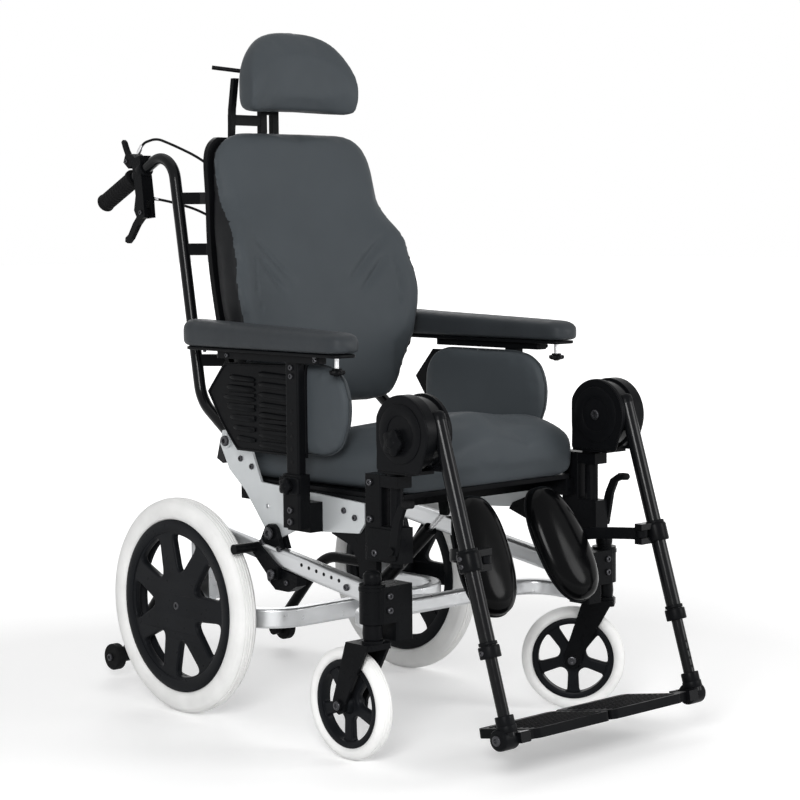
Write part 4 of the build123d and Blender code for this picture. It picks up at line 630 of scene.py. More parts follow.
def blend_table(table, value):
    """Reads a table of (key, values...) between its rows, on a smooth curve through them."""
    if value <= table[0][0]:
        return table[0][1:]
    for index, (low, high) in enumerate(zip(table, table[1:])):
        if value <= high[0]:
            before, after = table[max(index - 1, 0)], table[min(index + 2, len(table) - 1)]
            span = high[0] - low[0]
            t = (value - low[0]) / span
            out = []
            for a, b, p, n in zip(low[1:], high[1:], before[1:], after[1:]):
                start = slope(before[0], p, low[0], a, high[0], b)
                end = slope(low[0], a, high[0], b, after[0], n)
                out.append((2 * t ** 3 - 3 * t ** 2 + 1) * a + (t ** 3 - 2 * t ** 2 + t) * span * start
                           + (3 * t ** 2 - 2 * t ** 3) * b + (t ** 3 - t ** 2) * span * end)
            return tuple(out)
    return table[-1][1:]


def fullness(distance, radius):
    """How full a cushion is near its end: 0 at the very end and 1 from the radius inwards."""
    return math.sqrt(max(0.0, 1 - (1 - min(distance / radius, 1)) ** 2))


SEAT_REAR, SEAT_FRONT, SEAT_LOW, SEAT_HALF = -108.0, -529.0, 438.0, 222.5
SEAT_EDGE = [(0.0, 496.0), (0.35, 513.0), (0.7, 527.0), (0.9, 531.0), (1.0, 520.0)]
SEAT_CROWN = [(0.0, 505.0), (0.35, 534.0), (0.75, 560.0), (0.9, 565.0), (1.0, 550.0)]


def seat_cushion():
    """Contoured seat cushion: soft roll at the front edge and a shallow dish for the hips."""
    rings = []
    steps = 40
    for index in range(steps + 1):
        t = index / steps
        y = SEAT_REAR + (SEAT_FRONT - SEAT_REAR) * t
        rounding = fullness(min(t, 1 - t) * abs(SEAT_FRONT - SEAT_REAR), 14.0)
        half = SEAT_HALF - (1 - rounding) * 10
        edge_top, = blend_table(SEAT_EDGE, t)
        crown, = blend_table(SEAT_CROWN, t)
        base = SEAT_LOW + (1 - rounding) * 6
        ring = []
        for u, v in rounded_square(96, 5.5):
            x = u * half
            across = 1 - (abs(u)) ** 2.6
            top = edge_top + (crown - edge_top) * across - (1 - rounding) * 15
            top -= 9.0 * math.exp(-((abs(u) - 0.42) / 0.22) ** 2) * min(1.0, t * 1.6)
            belly = 1.0 - 0.018 * (1 - v * v)
            z = (top + base) / 2 + v * (top - base) / 2
            ring.append(at(x * belly + math.copysign(2.0, x) * (1 - v * v), y, z))
        rings.append(ring)
    mesh = swell(ring_mesh(rings), 3.0, 0.006, 0.0065, 16)
    smooth_mesh(mesh, 3)
    underside = at(0, 0, 444.6).z
    front_edge, rear_edge = at(0, -519.0, 0).y, at(0, -124.0, 0).y
    for vertex in mesh.vertices:
        co = vertex.co
        if co.z < underside and front_edge < co.y < rear_edge and abs(co.x) < 0.2215:
            co.z = underside
    cushion = put("seat_cushion_cover", mesh, "fabric", "seat_frame", 80)
    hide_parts("seat_cushion")


# Back cushion by height: half width behind, half width at the wing tips, front surface in the
# middle, how far the wings reach forward, and how far the rear is drawn in.
BACK_TABLE = [
    (556, 110, 103, -56, -2, 20), (568, 167, 150, -66, -3, 4), (627, 198, 183, -80, -6, 0),
    (700, 214, 205, -84, -28, 0), (786, 219, 216, -82, -40, 0), (868, 217, 206, -76, -36, 0),
    (950, 208, 182, -68, 4, 0), (1026, 200, 169, -64, 8, 0), (1064, 168, 146, -62, 6, 4),
    (1080, 121, 110, -56, 2, 16),
]
BACK_LOW, BACK_HIGH, BACK_STEPS = 557.0, 1079.0, 72
WING_POWER = 2.6


def lean(z):
    """How far the reclined back stands behind its mark at a height."""
    return 0.167 * (z - 768)


def from_axle(point):
    """A point in metres as millimetres from the rear axle: the reverse of at()."""
    return point.x * 1000, point.y * 1000 - AXLE_Y * 1000, point.z * 1000


def back_front(x, z):
    """Y of the back cushion's front surface."""
    _, tip, front, wing, _ = blend_table(BACK_TABLE, z)
    return lean(z) + front + wing * min(abs(x) / tip, 1.06) ** WING_POWER


def back_seam(z):
    """Y of the seam at the front edge of the wings; behind it the cushion's sides carry painted shade."""
    _, _, front, wing, _ = blend_table(BACK_TABLE, z)
    return lean(z) + front + wing + 15


def back_ring(z):
    """The back cushion's outline at a height: rear face, wing and front face, then the other half."""
    wide, tip, front, wing, inset = blend_table(BACK_TABLE, z)
    rounding = fullness(min(z - BACK_LOW, BACK_HIGH - z), 22.0)
    half_ring = []
    for step in range(13):
        x = (wide - 3) * step / 12
        half_ring.append((x, lean(z) - 9 - 10 * (x / 200) ** 2 - 13.2 - inset * 0.8))
    rear = half_ring[-1][1]
    front_edge = lean(z) + front + wing + (1 - rounding) * 16
    for step in range(1, 8):
        share = step / 8
        x = (wide - 3) + (tip + 3 - wide + 3) * share + 6 * math.sin(math.pi * share)
        half_ring.append((x, rear + (front_edge - rear) * share))
    for step in range(17):
        share = 1 - step / 16
        y = lean(z) + front + wing * share ** WING_POWER + (1 - rounding) * 16
        half_ring.append(((tip + 3) * share, y))
    outline = half_ring + [(-x, y) for x, y in reversed(half_ring[1:-1])]
    ring = rounded([(x / 1000, y / 1000) for x, y in outline], 0.011, 150)
    return [Vector((x, y + AXLE_Y, z / 1000)) for x, y in ring]


def back_cushion():
    """Shaped back cushion with side wings, painted shade on its sides and two sewn darts on each wing."""
    rings = []
    for index in range(BACK_STEPS + 1):
        t = index / BACK_STEPS
        share = (0.5 - 0.5 * math.cos(math.pi * t)) * 0.4 + t * 0.6
        rings.append(back_ring(BACK_LOW + (BACK_HIGH - BACK_LOW) * share))
    mesh = swell(ring_mesh(rings), 3.0, 0.005, 0.0060, 16)
    smooth_mesh(mesh, 3)
    for vertex in mesh.vertices:
        x, y, z = from_axle(vertex.co)
        tip = blend_table(BACK_TABLE, z)[1]
        behind = y - back_seam(z)
        if abs(x) > tip * 0.8 and abs(behind) < 3.4:
            vertex.co.y -= behind / 1000
    darts(mesh)
    cushion = put("back_cushion_cover", mesh, "fabric", "backrest", 80)
    # The side faces behind the seam take the near-black cloth: painted shade on the cushion's sides.
    mesh.materials.append(M["panel"])
    for polygon in mesh.polygons:
        x, y, z = from_axle(polygon.center)
        if y > back_seam(z) and y > back_front(x, z) + 11:
            polygon.material_index = 1
    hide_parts("back_cushion")


# The (x, z) ends of each dart on one wing, its depth and its width.
DARTS = [((72, 795), (160, 876)), ((96, 774), (154, 836))]
DART_DEPTH, DART_WIDTH = 7.0, 6.0


def darts(mesh):
    """Presses narrow creases into the wings of the back cushion."""
    for vertex in mesh.vertices:
        x, y, z = from_axle(vertex.co)
        if y > lean(z) - 46:
            continue
        spot = Vector((x, z))
        depth = 0.0
        for (xa, za), (xb, zb) in DARTS:
            for sign in (1, -1):
                a = Vector((xa * sign, za))
                along = Vector((xb * sign, zb)) - a
                t = (spot - a).dot(along) / along.length_squared
                if t < -0.15 or t > 1.15:
                    continue
                distance = (spot - (a + along * min(max(t, 0), 1))).length
                fade = math.sin(math.pi * min(max((t + 0.15) / 1.3, 0), 1))
                depth += DART_DEPTH * fade * math.exp(-(distance / DART_WIDTH) ** 2)
        vertex.co.y += depth / 1000


# Head pad by share of its half width: top, bottom, front and rear.
HEAD_HALF = 131.0
HEAD_TABLE = [
    (0.0, 1265.5, 1119.0, -23.0, 31.0), (0.3, 1263.0, 1119.0, -24.0, 31.0),
    (0.5, 1257.0, 1119.0, -27.0, 29.0), (0.65, 1248.0, 1119.0, -31.0, 25.0),
    (0.8, 1231.0, 1120.0, -36.0, 18.0), (0.9, 1213.0, 1122.0, -40.0, 11.0),
    (0.97, 1192.0, 1129.0, -43.0, 1.0), (1.0, 1174.0, 1142.0, -38.0, -14.0),
]


def headrest_pad():
    """Wrap-around head pad, flat below, domed above, its ends curving forward."""
    rings = []
    steps = 60
    for index in range(steps + 1):
        share = -math.cos(math.pi * index / steps)
        high, low, front, rear = blend_table(HEAD_TABLE, abs(share))
        ring = []
        for u, v in rounded_square(84, 2.7, 4.6):
            z = (low + high) / 2 + v * (high - low) / 2
            y = (front + rear) / 2 + u * (rear - front) / 2
            y -= 4.0 * (1 - v * v) * (1 if u < 0 else 0)
            z -= 0.2 * (31.0 - y) * (0.5 - 0.5 * v)
            ring.append(at(share * HEAD_HALF, y, z))
        rings.append(ring)
    mesh = swell(ring_mesh(rings), 3.0, 0.005, 0.005, 14)
    smooth_mesh(mesh, 2)
    pad = put("headrest_cover", mesh, "fabric", "headrest", 80)
    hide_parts("headrest_pad")


def pad_from_outline(outline, place, layers):
    """Skins scaled copies of an outline: layers are (height, inset) pairs."""
    count = len(outline)
    centre = Vector((sum(p[0] for p in outline) / count, sum(p[1] for p in outline) / count))
    size = max((Vector(p) - centre).length for p in outline)
    rings = []
    for height, inset in layers:
        scale = 1 - inset / size
        ring = []
        for point in outline:
            offset = Vector(point) - centre
            ring.append(place @ Vector((centre.x + offset.x * scale, centre.y + offset.y * scale, height)))
        rings.append(ring)
    return ring_mesh(rings)


def edge_layers(thick, radius, steps, dome, reach):
    """Heights and insets that round both rims of a slab and dome its faces a little."""
    layers = [(-thick / 2 - dome, reach * 0.96), (-thick / 2 - dome * 0.8, reach * 0.5)]
    for step in range(steps, -1, -1):
        angle = math.pi / 2 * step / steps
        layers.append((-thick / 2 + radius * (1 - math.sin(angle)), radius * (1 - math.cos(angle))))
    return layers + [(-height, inset) for height, inset in reversed(layers)]


HIP_OUTLINE = [(-154, 503), (-378, 503), (-412, 518), (-431, 560), (-433, 600), (-420, 636), (-396, 654),
               (-356, 661), (-172, 661), (-134, 648), (-114, 614), (-114, 532)]


def hip_pad(side):
    """D-shaped side cushion with a welted rim."""
    body = f"armrest_{side}"
    outline = axle_outline(HIP_OUTLINE, 0.016, 140)
    place = side_plane(0.2415 * SIDES[side])
    mesh = pad_from_outline(outline, place, edge_layers(0.026, 0.011, 7, 0.0012, 0.07))
    mesh = swell(mesh, 2.5, 0.002, 0.005, 12)
    smooth_mesh(mesh, 2)
    pad = put(f"hip_cushion_{side}", mesh, "fabric", body, 80)
    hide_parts(f"hip_pad_{side}")
    put(f"hip_welt_{side}", rim_bar(outline, place, 0.0016, 8), "piping", body, 60)


ARM_WIDTH = [(0.0, 27.0), (0.12, 29.0), (0.5, 31.0), (0.85, 32.0), (1.0, 31.0)]
KNOB_Y = -432


def arm_top(side):
    """Foam-skinned arm pad on its hard plate, with screws and the clamp knob."""
    x = ARM_X * SIDES[side]
    body = f"arm_top_{side}"
    rings = []
    steps = 46
    for index in range(steps + 1):
        t = index / steps
        spot = -math.cos(math.pi * t) * 0.5 + 0.5
        y = ARM_REAR + (ARM_FRONT - ARM_REAR) * (0.35 * spot + 0.65 * t)
        rounding = fullness(min(abs(y - ARM_REAR), abs(y - ARM_FRONT)), 30.0)
        width, = blend_table(ARM_WIDTH, t)
        half = width * (0.36 + 0.64 * rounding)
        top = 733.0 - 15.0 * t - (1 - rounding) * 14
        low = 682.4 + (1 - rounding) * 6
        rings.append([at(x + u * half, y, (top + low) / 2 + v * (top - low) / 2)
                      for u, v in rounded_square(64, 2.9, 4.5)])
    pad = put(f"arm_cushion_{side}", ring_mesh(rings), "armtop", body, 60)
    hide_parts(f"arm_pad_{side}")
    ahead, behind = ARM_FRONT + 9, ARM_REAR - 9
    outline = axle_outline([(ahead, -26), (behind, -21), (behind, 21), (ahead, 26)], 0.014, 120)
    lie = Matrix.Translation(Vector((x / 1000, 0, 0.6792))) @ FACE_DOWN
    put(f"arm_plate_{side}", flat_piece(outline, [], 0.0058, 0.0014, lie), "plastic", body, 40)
    turned(f"arm_stud_{side}", at(x, KNOB_Y, 655), UP, [(0.004, 0), (0.004, 0.0215)], 20, "steel", body, 38)
    star_knob(f"arm_knob_{side}", at(x, KNOB_Y, 658), -UP, 0.0145, 0.013, body)
    for y in (-90, -395):
        spot = at(x + 18 * SIDES[side], y, 676.2)
        socket_bolt(f"arm_screw_{side}_{-y}", spot, -UP, 0.0031, 0.003, body)


CALF_SPOT, CALF_PITCH, CALF_TURN = (96.0, -612.0, 343.0), -26.0, -7.7
CALF_HALF_WIDTH, CALF_HALF_HEIGHT = 0.0575, 0.107
# The calf pad's section from its back to the middle of its front: (y, inset).
CALF_SECTION = [
    (0.0198, 0.030), (0.0198, 0.010), (0.0185, 0.004), (0.014, 0.0008), (0.006, 0.0), (0.0, 0.0015),
    (-0.006, 0.0055), (-0.0115, 0.0125), (-0.0155, 0.022), (-0.018, 0.033), (-0.0192, 0.044),
    (-0.0196, 0.0505)]


def calf_pad(side):
    """Glossy oval calf pad: domed front, rolled rim, and the arm that holds it."""
    sign = SIDES[side]
    body = f"calf_support_{side}"
    x, y, z = CALF_SPOT
    place = (Matrix.Translation(at(x * sign, y, z)) @ Matrix.Rotation(math.radians(CALF_PITCH), 4, "X")
             @ Matrix.Rotation(math.radians(CALF_TURN * sign), 4, "Y"))
    outline = [(CALF_HALF_WIDTH * u * (1.0 - 0.07 * v), CALF_HALF_HEIGHT * v)
               for u, v in rounded_square(72, 2.35)]
    rings = []
    for y, inset in CALF_SECTION:
        wide, tall = 1 - inset / CALF_HALF_WIDTH, 1 - inset * 0.96 / CALF_HALF_HEIGHT
        deep = max(0.0, inset - 0.03) / 0.024
        tall = tall * (1 - deep) + tall * wide * 1.25 * deep
        rings.append([place @ Vector((x * wide, y, z * tall)) for x, z in outline])
    pad = put(f"calf_cushion_{side}", ring_mesh(rings), "gloss", body, 60)
    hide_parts(f"calf_pad_{side}")
    rim = [place @ Vector((x * 0.995, 0.0135, z * 0.995)) for x, z in outline + outline[:1]]
    put(f"calf_rim_{side}", tube_mesh(rim, 0.0022, 8), "plastic", body, 60)
    calf_arm(side, place)


CALF_BAR = [(184, -676, 355), (170, -630, 352), (158, -592, 346), (132, -575, 338)]


def calf_arm(side, place):
    """Flat bent bar from the upright pin on the leg tube to the back of the calf pad."""
    sign = SIDES[side]
    body = f"calf_support_{side}"
    pin_x, pin_y = CALF_PIVOT
    bends = [at(x * sign, y, z) for x, y, z in [(pin_x, pin_y, 356)] + CALF_BAR]
    route = smooth_path(bends + [place @ Vector((0, 0.024, 0))], 6)
    rings = []
    for index, point in enumerate(route):
        ahead = route[min(index + 1, len(route) - 1)] - route[max(index - 1, 0)]
        side_way = Vector((ahead.y, -ahead.x, 0)).normalized()
        rings.append([point + side_way * u * 0.0032 + UP * v * 0.0105 for u, v in rounded_square(24, 5)])
    put(f"calf_bar_{side}", ring_mesh(rings), "coat", body, 40)
    behind = place.to_3x3() @ Vector((0, 1, 0))
    round_cap(f"calf_disc_{side}", place @ Vector((0, 0.0196, 0)), behind, 0.022, 0.006, body)
    turned(f"calf_eye_{side}", at(pin_x * sign, pin_y, 349.4), UP,
           [(0.0095, 0), (0.0108, 0.001), (0.0108, 0.0122), (0.0095, 0.0132)], 32, "coat", body, 38)


# ---- knees, legs and feet -------------------------------------------------------------
def knee_outline():
    """The knee housing's side view, flat below and cut straight behind."""
    line = []
    for step in range(49):
        angle = math.radians(-25 + 230 * step / 48)
        y = KNEE_Y - KNEE_RADIUS * math.cos(angle)
        z = KNEE_Z + KNEE_RADIUS * math.sin(angle)
        line.append((min(y, KNEE_REAR), max(z, KNEE_BOTTOM)))
    line += [(KNEE_REAR, KNEE_BOTTOM), (KNEE_Y - 46, KNEE_BOTTOM)]
    return axle_outline(line, 0.006, 140)


def knee(side):
    """Covers on both cheeks of the knee housing, the star knob, the pivot cap and the post's band."""
    sign = SIDES[side]
    body = f"legrest_{side}"
    out = Vector((sign, 0, 0))
    for x, tag, facing in ((265.4, "outer", 1), (210.8, "inner", -1)):
        cover = flat_piece(knee_outline(), [], 0.0046, 0.0018, side_plane(x * sign / 1000))
        put(f"knee_cover_{tag}_{side}", cover, "plastic", body, 40)
        turned(f"knee_ring_{tag}_{side}", at((x + 2.3 * facing) * sign, KNEE_Y, KNEE_Z), out * facing,
               [(0.030, -0.0005), (0.0305, 0.0012), (0.034, 0.0022), (0.046, 0.0024), (0.0495, 0.0014),
                (0.050, -0.0005)], 72, "plastic", body, closed=True)
    star_knob(f"knee_knob_{side}", at(267.6 * sign, KNEE_Y + 8, KNEE_Z - 14), out, 0.0228, 0.0165, body)
    socket_bolt(f"knee_bolt_{side}", at(208.4 * sign, KNEE_Y, KNEE_Z), -out, 0.009, 0.004, body)
    clamp_band(f"post_band_{side}_487", at(POST_X * sign, POST_Y, 487), UP, 0.0165, 0.006, body)


def on_leg(side, z):
    """The point on a side's leg tube at a height."""
    share = (z - LEG_FOOT_Z) / (LEG_TOP_Z - LEG_FOOT_Z)
    return at(LEG_X * SIDES[side], FOOT_Y + share * LEG_RUN, z)


# Name, height, radius, width and finish of the collars on the sliding part of the leg tube.
LEG_BANDS = [("calf_clamp", 355, 0.0190, 0.031, "coat"), ("calf_clamp_rim", 372, 0.0168, 0.006, "plastic"),
             ("slide_clamp", 215, 0.0172, 0.020, "plastic"), ("slide_ring", 228, 0.0150, 0.006, "plastic")]


def leg_parts(side):
    """Clamps, bolts and the domed top of the leg tubes, dark discs of painted shade for the length holes, and
    the foot casting's rounded cover.
    """
    sign = SIDES[side]
    out = Vector((sign, 0, 0))
    upper, lower = f"lower_leg_{side}", f"foot_slider_{side}"
    along = (on_leg(side, LEG_TOP_Z) - on_leg(side, LEG_FOOT_Z)).normalized()
    turned(f"leg_dome_{side}", on_leg(side, LEG_TOP_Z), along,
           [(0.0130, -0.004), (0.0132, 0.0), (0.0128, 0.006), (0.0105, 0.0105), (0.006, 0.0130),
            (0.0005, 0.0137)], 40, "plastic", upper, 60)
    for name, z, radius, width, material in LEG_BANDS:
        clamp_band(f"{name}_{side}", on_leg(side, z), along, radius, width, upper, material)
    for z in (350, 362):
        socket_bolt(f"calf_clamp_bolt_{side}_{z}", on_leg(side, z) + out * 0.0190, out, 0.0042, 0.0034, upper)
    socket_bolt(f"slide_bolt_{side}", on_leg(side, 215) + out * 0.0168, out, 0.0042, 0.0036, upper)
    face = along.cross(out)
    # Dark rubber discs on the slider: painted shade standing in for the open length holes.
    for index in range(4):
        spot = on_leg(side, 168 - index * 14) + face.normalized() * -0.0098
        round_cap(f"length_hole_shade_{side}_{index}", spot, -face, 0.0026, 0.0006, lower, "rubber")
    turned(f"foot_casting_{side}", at(232.5 * sign, FOOT_Y, FOOT_Z), out,
           [(0.0120, -0.0175), (0.0158, -0.0168), (0.0178, -0.0150), (0.0182, -0.0120), (0.0182, 0.0120),
            (0.0178, 0.0155), (0.0160, 0.0180), (0.0115, 0.0190)], 56, "plastic", lower)
    socket_bolt(f"foot_bolt_{side}", at(250.5 * sign, FOOT_Y, FOOT_Z), out, 0.0088, 0.0042, lower)
    clamp_band(f"foot_sleeve_{side}", on_leg(side, 108), along, 0.0150, 0.018, lower)
    clamp_band(f"foot_sleeve_low_{side}", on_leg(side, 96), along, 0.0162, 0.012, lower)


FOOT_TURN = Matrix.Translation(at(0, FOOT_Y, FOOT_Z)) @ Matrix.Rotation(math.radians(FOOT_PITCH), 4, "X")
# A tread rib along its length: (x, half width, half height).
TREAD_RIB = [(14.0, 0.0012, 0.0005), (17.0, 0.0024, 0.0014), (171.0, 0.0024, 0.0014),
             (174.0, 0.0012, 0.0005)]


def footplate(side):
    """Ribbed tread and screws of one footplate."""
    sign = SIDES[side]
    body = f"foot_flap_{side}"
    for index in range(9):
        y = -10 + index * 13.0
        rings = [[FOOT_TURN @ Vector((x * sign / 1000, y / 1000 + u * half, 0.0080 + v * tall))
                  for u, v in rounded_square(12, 2.6)] for x, half, tall in TREAD_RIB]
        put(f"tread_{side}_{index}", ring_mesh(rings), "rubber", body, 60)
    below = FOOT_TURN.to_3x3() @ -UP
    for x in (150, 30):
        for y in (3, 107):
            spot = FOOT_TURN @ Vector((x * sign / 1000, y / 1000 + 0.0065, -0.0079))
            socket_bolt(f"plate_screw_{side}_{x}_{y}", spot, below, 0.0045, 0.0026, body)


# ---- armrests, guards and side plates -------------------------------------------------
GUARD_OUTLINE = [(-114, 652), (-66, 600), (-104, 546), (-147, 501), (-337, 501), (-337, 657)]


def guard(side):
    """Louvres, rim and screws on the clothes guard, and dark discs of painted shade for the armrest's height
    holes.
    """
    sign = SIDES[side]
    body = f"armrest_{side}"
    for index in range(8):
        louvre(f"louvre_front_{side}_{index}", sign, -298, -212, 510 + index * 18.0, body)
    for index in range(7):
        rear = -112 - abs(index - 4.0) * 9
        louvre(f"louvre_rear_{side}_{index}", sign, -200, rear, 519 + index * 18.0, body)
    rim = rim_bar(axle_outline(GUARD_OUTLINE, 0.008, 180), side_plane(sign * 0.2612), 0.0021, 10)
    put(f"guard_rim_{side}", rim, "plastic", body, 60)
    out = Vector((sign, 0, 0))
    # Dark rubber discs on the post: painted shade standing in for the open height holes.
    for index in range(5):
        spot = at(279.0 * sign, ARM_POST_Y, 492 + index * 22)
        round_cap(f"post_hole_shade_{side}_{index}", spot, out, 0.0036, 0.0005, body, "rubber")
    outer_bolts("post_screw", side, body, 279.0, [(ARM_POST_Y, 640), (ARM_POST_Y, 655)], 0.0052, 0.0034,
                "height")
    outer_bolts("bar_screw", side, body, 284.0, [(-150, 669.7), (-392, 669.7)], 0.0040, 0.0030, "ahead")


def louvre(name, sign, front, rear, z, body):
    """One rounded slat standing off the guard's face, rising a little to the rear."""
    rings = []
    count = 8
    for index in range(count + 1):
        t = index / count
        y = front + (rear - front) * t
        shrink = 0.35 if index in (0, count) else 1.0
        rings.append([at((262.2 + u * 3.6 * shrink) * sign, y, z + t * 3.0 + v * 4.2 * shrink + u * -1.6)
                      for u, v in rounded_square(14, 2.8)])
    put(name, ring_mesh(rings), "plastic", body, 60)


def face_plate(name, side, x, y_span, z_span, corner, thick, bevel, material):
    """A flat rounded cover on the outer face of the seat frame."""
    (ahead, behind), (low, high) = y_span, z_span
    outline = axle_outline([(ahead, low), (behind, low), (behind, high), (ahead, high)], corner, 80)
    mesh = flat_piece(outline, [], thick, bevel, side_plane(SIDES[side] * x))
    put(f"{name}_{side}", mesh, material, "seat_frame", 40)


def seat_frame_parts(side):
    """Screws and caps of the side plates, sockets and receivers, and the recline pivot."""
    sign = SIDES[side]
    body = "seat_frame"
    outer_bolts("recline_bolt", side, body, 236.0, [RECLINE_PIVOT], 0.0098, 0.0050)
    outer_bolts("plate_bolt", side, body, 231.0,
                [(-150, 466), (-118, 478), (-300, 418), (-402, 410), (-430, 400)], 0.0055, 0.0034, "ahead")
    outer_bolts("socket_bolt", side, body, 283.5, [(ARM_POST_Y, 388), (ARM_POST_Y, 408)], 0.0060, 0.0040,
                "height")
    face_plate("socket_clamp", side, 0.2852, (ARM_POST_Y - 26, ARM_POST_Y + 26), (436, 466),
               0.006, 0.0055, 0.0014, "plastic")
    knob = at(287.9 * sign, ARM_POST_Y, 451)
    star_knob(f"socket_knob_{side}", knob, Vector((sign, 0, 0)), 0.0150, 0.0140, body)
    outer_bolts("receiver_bolt", side, body, 258.0, [(-500, 470), (-512, 352), (-500, 408)], 0.0062, 0.0044,
                "height")
    face_plate("receiver_face", side, 0.2592, (POST_Y - 19, POST_Y + 52), (342, 394),
               0.005, 0.0024, 0.0008, "coat")
    turned(f"release_grip_{side}", at(265.5 * sign, -601, 442), (0, -1, 0.05),
           [(0.0045, -0.012), (0.0062, -0.010), (0.0068, 0.0), (0.0062, 0.010), (0.0040, 0.0125)],
           28, "rubber", f"legrest_release_{side}", 60)


def base_parts(side):
    """Bolts, caps, plugs and bearing rings of the base frame, the wheel lock's bolts, and dark discs of
    painted shade for the rail's holes.
    """
    sign = SIDES[side]
    body = "base_frame"
    out = Vector((sign, 0, 0))
    outer_bolts("tilt_bolt", side, body, 243.5, [TILT_PIVOT], 0.0110, 0.0050)
    outer_bolts("bracket_bolt", side, body, 240.5, [(-236, 326), (-188, 334)], 0.0055, 0.0036, "ahead")
    # Dark rubber discs on the rails: painted shade standing in for the open adjustment holes.
    for index in range(6):
        y = -300 - index * 20
        spot = at(242.5 * sign, y, 266 + (y + 511.5) * 0.1552 + 6)
        round_cap(f"rail_hole_shade_{side}_{index}", spot, out, 0.0034, 0.0005, body, "rubber")
    outer_bolts("rail_bolt", side, body, 242.5, [(-420, 280), (-470, 272)], 0.0060, 0.0040, "ahead")
    turned(f"stem_cap_{side}", at(STEM_X * sign, STEM_Y, 314), UP,
           [(0.0150, -0.004), (0.0155, 0.002), (0.0150, 0.008), (0.0110, 0.0125), (0.0050, 0.0140),
            (0.0005, 0.0142)], 40, "plastic", body, 60)
    for z in (262, 286):
        socket_bolt(f"housing_bolt_{side}_{z}", at(270 * sign, -559.5, z), (0, -1, 0), 0.0058, 0.0042, body)
    turned(f"housing_lip_{side}", at(STEM_X * sign, STEM_Y, 298), UP,
           [(0.0215, -0.004), (0.0232, -0.003), (0.0232, 0.003), (0.0215, 0.004)],
           48, "coat", body, closed=True)
    turned(f"bearing_ring_{side}", at(STEM_X * sign, STEM_Y, 226), UP,
           [(0.0145, -0.013), (0.0162, -0.012), (0.0172, -0.002), (0.0162, 0.012), (0.0145, 0.013)],
           48, "plastic", body, closed=True)
    outer_bolts("lock_bolt", side, body, 256, [(-232, 282)], 0.0090, 0.0040)
    outer_bolts("lock_screw", side, body, 242, [(-258, 268), (-212, 270)], 0.0048, 0.0034, "ahead")
    round_cap(f"axle_plug_{side}", at(238 * sign, 18, 330), out, 0.0070, 0.0030, body)
    round_cap(f"axle_plug_low_{side}", at(238 * sign, -16, 330), out, 0.0070, 0.0030, body)
    outer_bolts("carrier_bolt", side, body, 238, [(0, 300)], 0.0080, 0.0050)
    outer_bolts("antitip_bolt", side, body, 229.5, [(310, 48)], 0.0070, 0.0040)


# ---- handles and cables ---------------------------------------------------------------
GRIP_START = [(0.0040, -0.0015), (0.0120, -0.0012), (0.0165, 0.0005), (0.0180, 0.0030), (0.0180, 0.0060),
              (0.0165, 0.0085)]
GRIP_RIB = [(0.0158, 0.0), (0.0158, 0.0012), (0.0169, 0.0024), (0.0169, 0.0062), (0.0158, 0.0074)]
GRIP_RIBS, GRIP_RIB_FIRST, GRIP_RIB_PITCH = 11, 0.0100, 0.0085
GRIP_FLANGE = [(0.0172, 0.1050), (0.0190, 0.1070), (0.0190, 0.1105), (0.0170, 0.1120), (0.0113, 0.1120)]
CABLE_END = [(0.0028, -0.004), (0.0042, -0.003), (0.0042, 0.007), (0.0034, 0.009), (0.0034, 0.015),
             (0.0028, 0.016)]


def handles():
    """Ribbed grips with end flanges, lever pivots and the cables' metal ends."""
    body = "backrest"
    ribs = [(radius, GRIP_RIB_FIRST + index * GRIP_RIB_PITCH + height)
            for index in range(GRIP_RIBS) for radius, height in GRIP_RIB]
    meshes = []
    for side, sign in SIDES.items():
        end = at(PUSH_X * sign, 322, 944)
        along = (at(PUSH_X * sign, 100, 1048) - end).normalized()
        meshes.append(lathe(end, along, GRIP_START + ribs + GRIP_FLANGE, 48))
        out = Vector((sign, 0, 0))
        socket_bolt(f"lever_pivot_{side}", at(227.0 * sign, 184, 926), out, 0.0045, 0.0028, body)
        socket_bolt(f"lever_pivot_in_{side}", at(201.0 * sign, 184, 926), -out, 0.0045, 0.0028, body)
        socket_bolt(f"trigger_pivot_{side}", at(227.0 * sign, 228, 1024), out, 0.0040, 0.0026, body)
        clamp_band(f"housing_band_{side}", at(PUSH_X * sign, 188, 1007), along, 0.0150, 0.016, body)
        for start, ahead in ((at(PUSH_X * sign, 204, 1041), Vector((0, -12, 17))),
                             (at(198.2 * sign, 184, 953), Vector((-12 * sign, -46, -8)))):
            turned(f"cable_end_{side}_{int(ahead.z)}", start, ahead, CABLE_END, 20, "steel", body)
    grips = put("grip_sleeves", merge(meshes), "rubber", body, 35)
    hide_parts("hand_grips")


# ---- floor, light and background ------------------------------------------------------
WHITE = (1, 1, 1, 1)
WORLD_LIGHT, WORLD_SEEN = 0.36, 1.0
FLOOR_HALF, FLOOR_SHADE = 40.0, (0.86, 0.86, 0.86, 1)
# The floor's own glow: distances from the middle where it starts and ends, and its strength there.
FLOOR_GLOW = (1.0, 3.2, 0.27, 1.0)
LAMP_AIM = (0, -200, 550)
# Name, place, watts and width.
LAMPS = [("key", (-2300, -2300, 1500), 64, 1.1), ("fill", (1500, -2900, 1300), 34, 1.3),
         ("top", (0, 200, 3000), 10, 2.6), ("rim", (1500, 2300, 1900), 14, 1.6)]


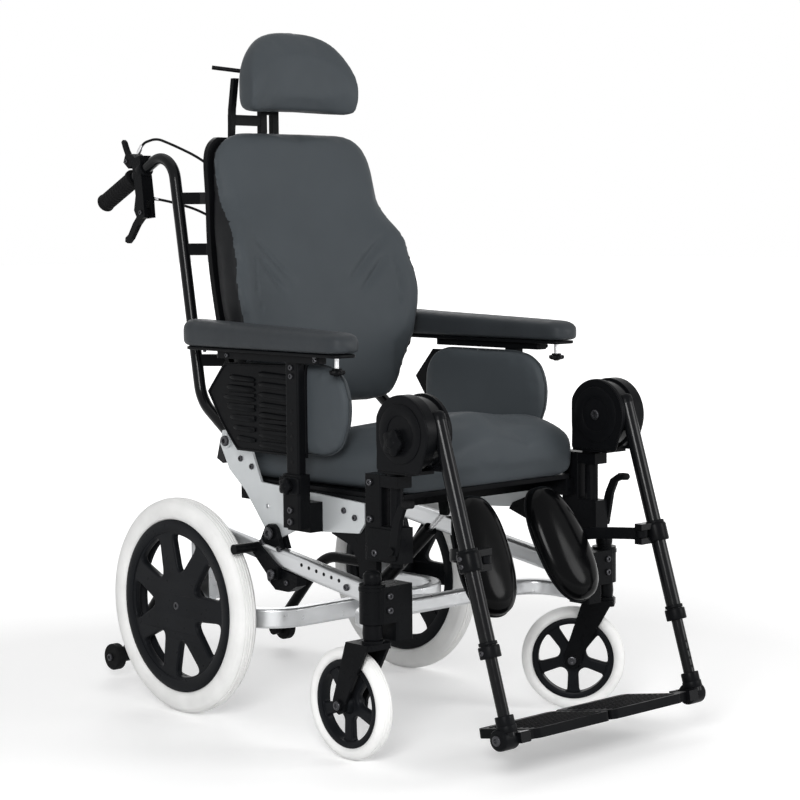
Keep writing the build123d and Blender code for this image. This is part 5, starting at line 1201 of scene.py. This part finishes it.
def backdrop():
    """A world that looks white but lights the part dimly."""
    world = bpy.data.worlds.new("studio")
    bpy.context.scene.world = world
    world.use_nodes = True
    tree = world.node_tree
    tree.nodes.clear()
    rays = add(tree, "LightPath", {}).outputs
    seen = add(tree, "Math", {0: rays["Is Camera Ray"], 1: rays["Is Transmission Ray"]},
               operation="ADD", use_clamp=True).outputs[0]
    share = add(tree, "Math", {0: seen, 1: rays["Is Glossy Ray"]}, operation="MAXIMUM").outputs[0]
    dim = add(tree, "Background", {"Color": WHITE, "Strength": WORLD_LIGHT}).outputs[0]
    white = add(tree, "Background", {"Color": WHITE, "Strength": WORLD_SEEN}).outputs[0]
    mixed = add(tree, "MixShader", {0: share, 1: dim, 2: white}).outputs[0]
    add(tree, "OutputWorld", {0: mixed})


def floor_material():
    """Pale matt floor whose own glow carries it to white away from the part."""
    material = bpy.data.materials.new("pale_floor")
    material.use_nodes = True
    tree = material.node_tree
    shader = feed(tree, tree.nodes["Principled BSDF"], {
        "Base Color": FLOOR_SHADE, "Roughness": 0.65, "Specular IOR Level": 0.2})
    rays = add(tree, "LightPath", {}).outputs
    lift = add(tree, "Math", {0: rays["Is Camera Ray"], 1: rays["Is Glossy Ray"]},
               operation="MAXIMUM").outputs[0]
    coords = tree.nodes.new("ShaderNodeTexCoord").outputs["Object"]
    far = add(tree, "VectorMath", {0: coords}, operation="LENGTH").outputs["Value"]
    strength = add(tree, "Math", {0: lift, 1: ramp(tree, far, *FLOOR_GLOW)}, operation="MULTIPLY").outputs[0]
    glow = add(tree, "Emission", {"Color": WHITE, "Strength": strength}).outputs[0]
    total = add(tree, "AddShader", {0: shader.outputs[0], 1: glow}).outputs[0]
    feed(tree, tree.nodes["Material Output"], {"Surface": total})
    return material


def studio():
    """White backdrop, pale floor and four soft lamps."""
    bpy.context.scene.view_settings.view_transform = "Standard"
    backdrop()
    size = FLOOR_HALF
    mesh = bpy.data.meshes.new("floor")
    mesh.from_pydata([(-size, -size, 0), (size, -size, 0), (size, size, 0), (-size, size, 0)], [],
                     [(0, 1, 2, 3)])
    floor = linked("floor", mesh)
    mesh.materials.append(floor_material())
    for name, place, watts, width in LAMPS:
        light = bpy.data.lights.new(name, "AREA")
        light.shape = "DISK"
        light.size = width
        light.energy = watts
        lamp = linked(name, light)
        lamp.location = at(*place)
        lamp.rotation_euler = (at(*LAMP_AIM) - at(*place)).to_track_quat("-Z", "Y").to_euler()


studio()
for side in SIDES:
    rear_wheel(side)
    caster(side)
    hip_pad(side)
    arm_top(side)
    calf_pad(side)
    knee(side)
    leg_parts(side)
    footplate(side)
    guard(side)
    seat_frame_parts(side)
    base_parts(side)
handles()
seat_cushion()
back_cushion()
headrest_pad()
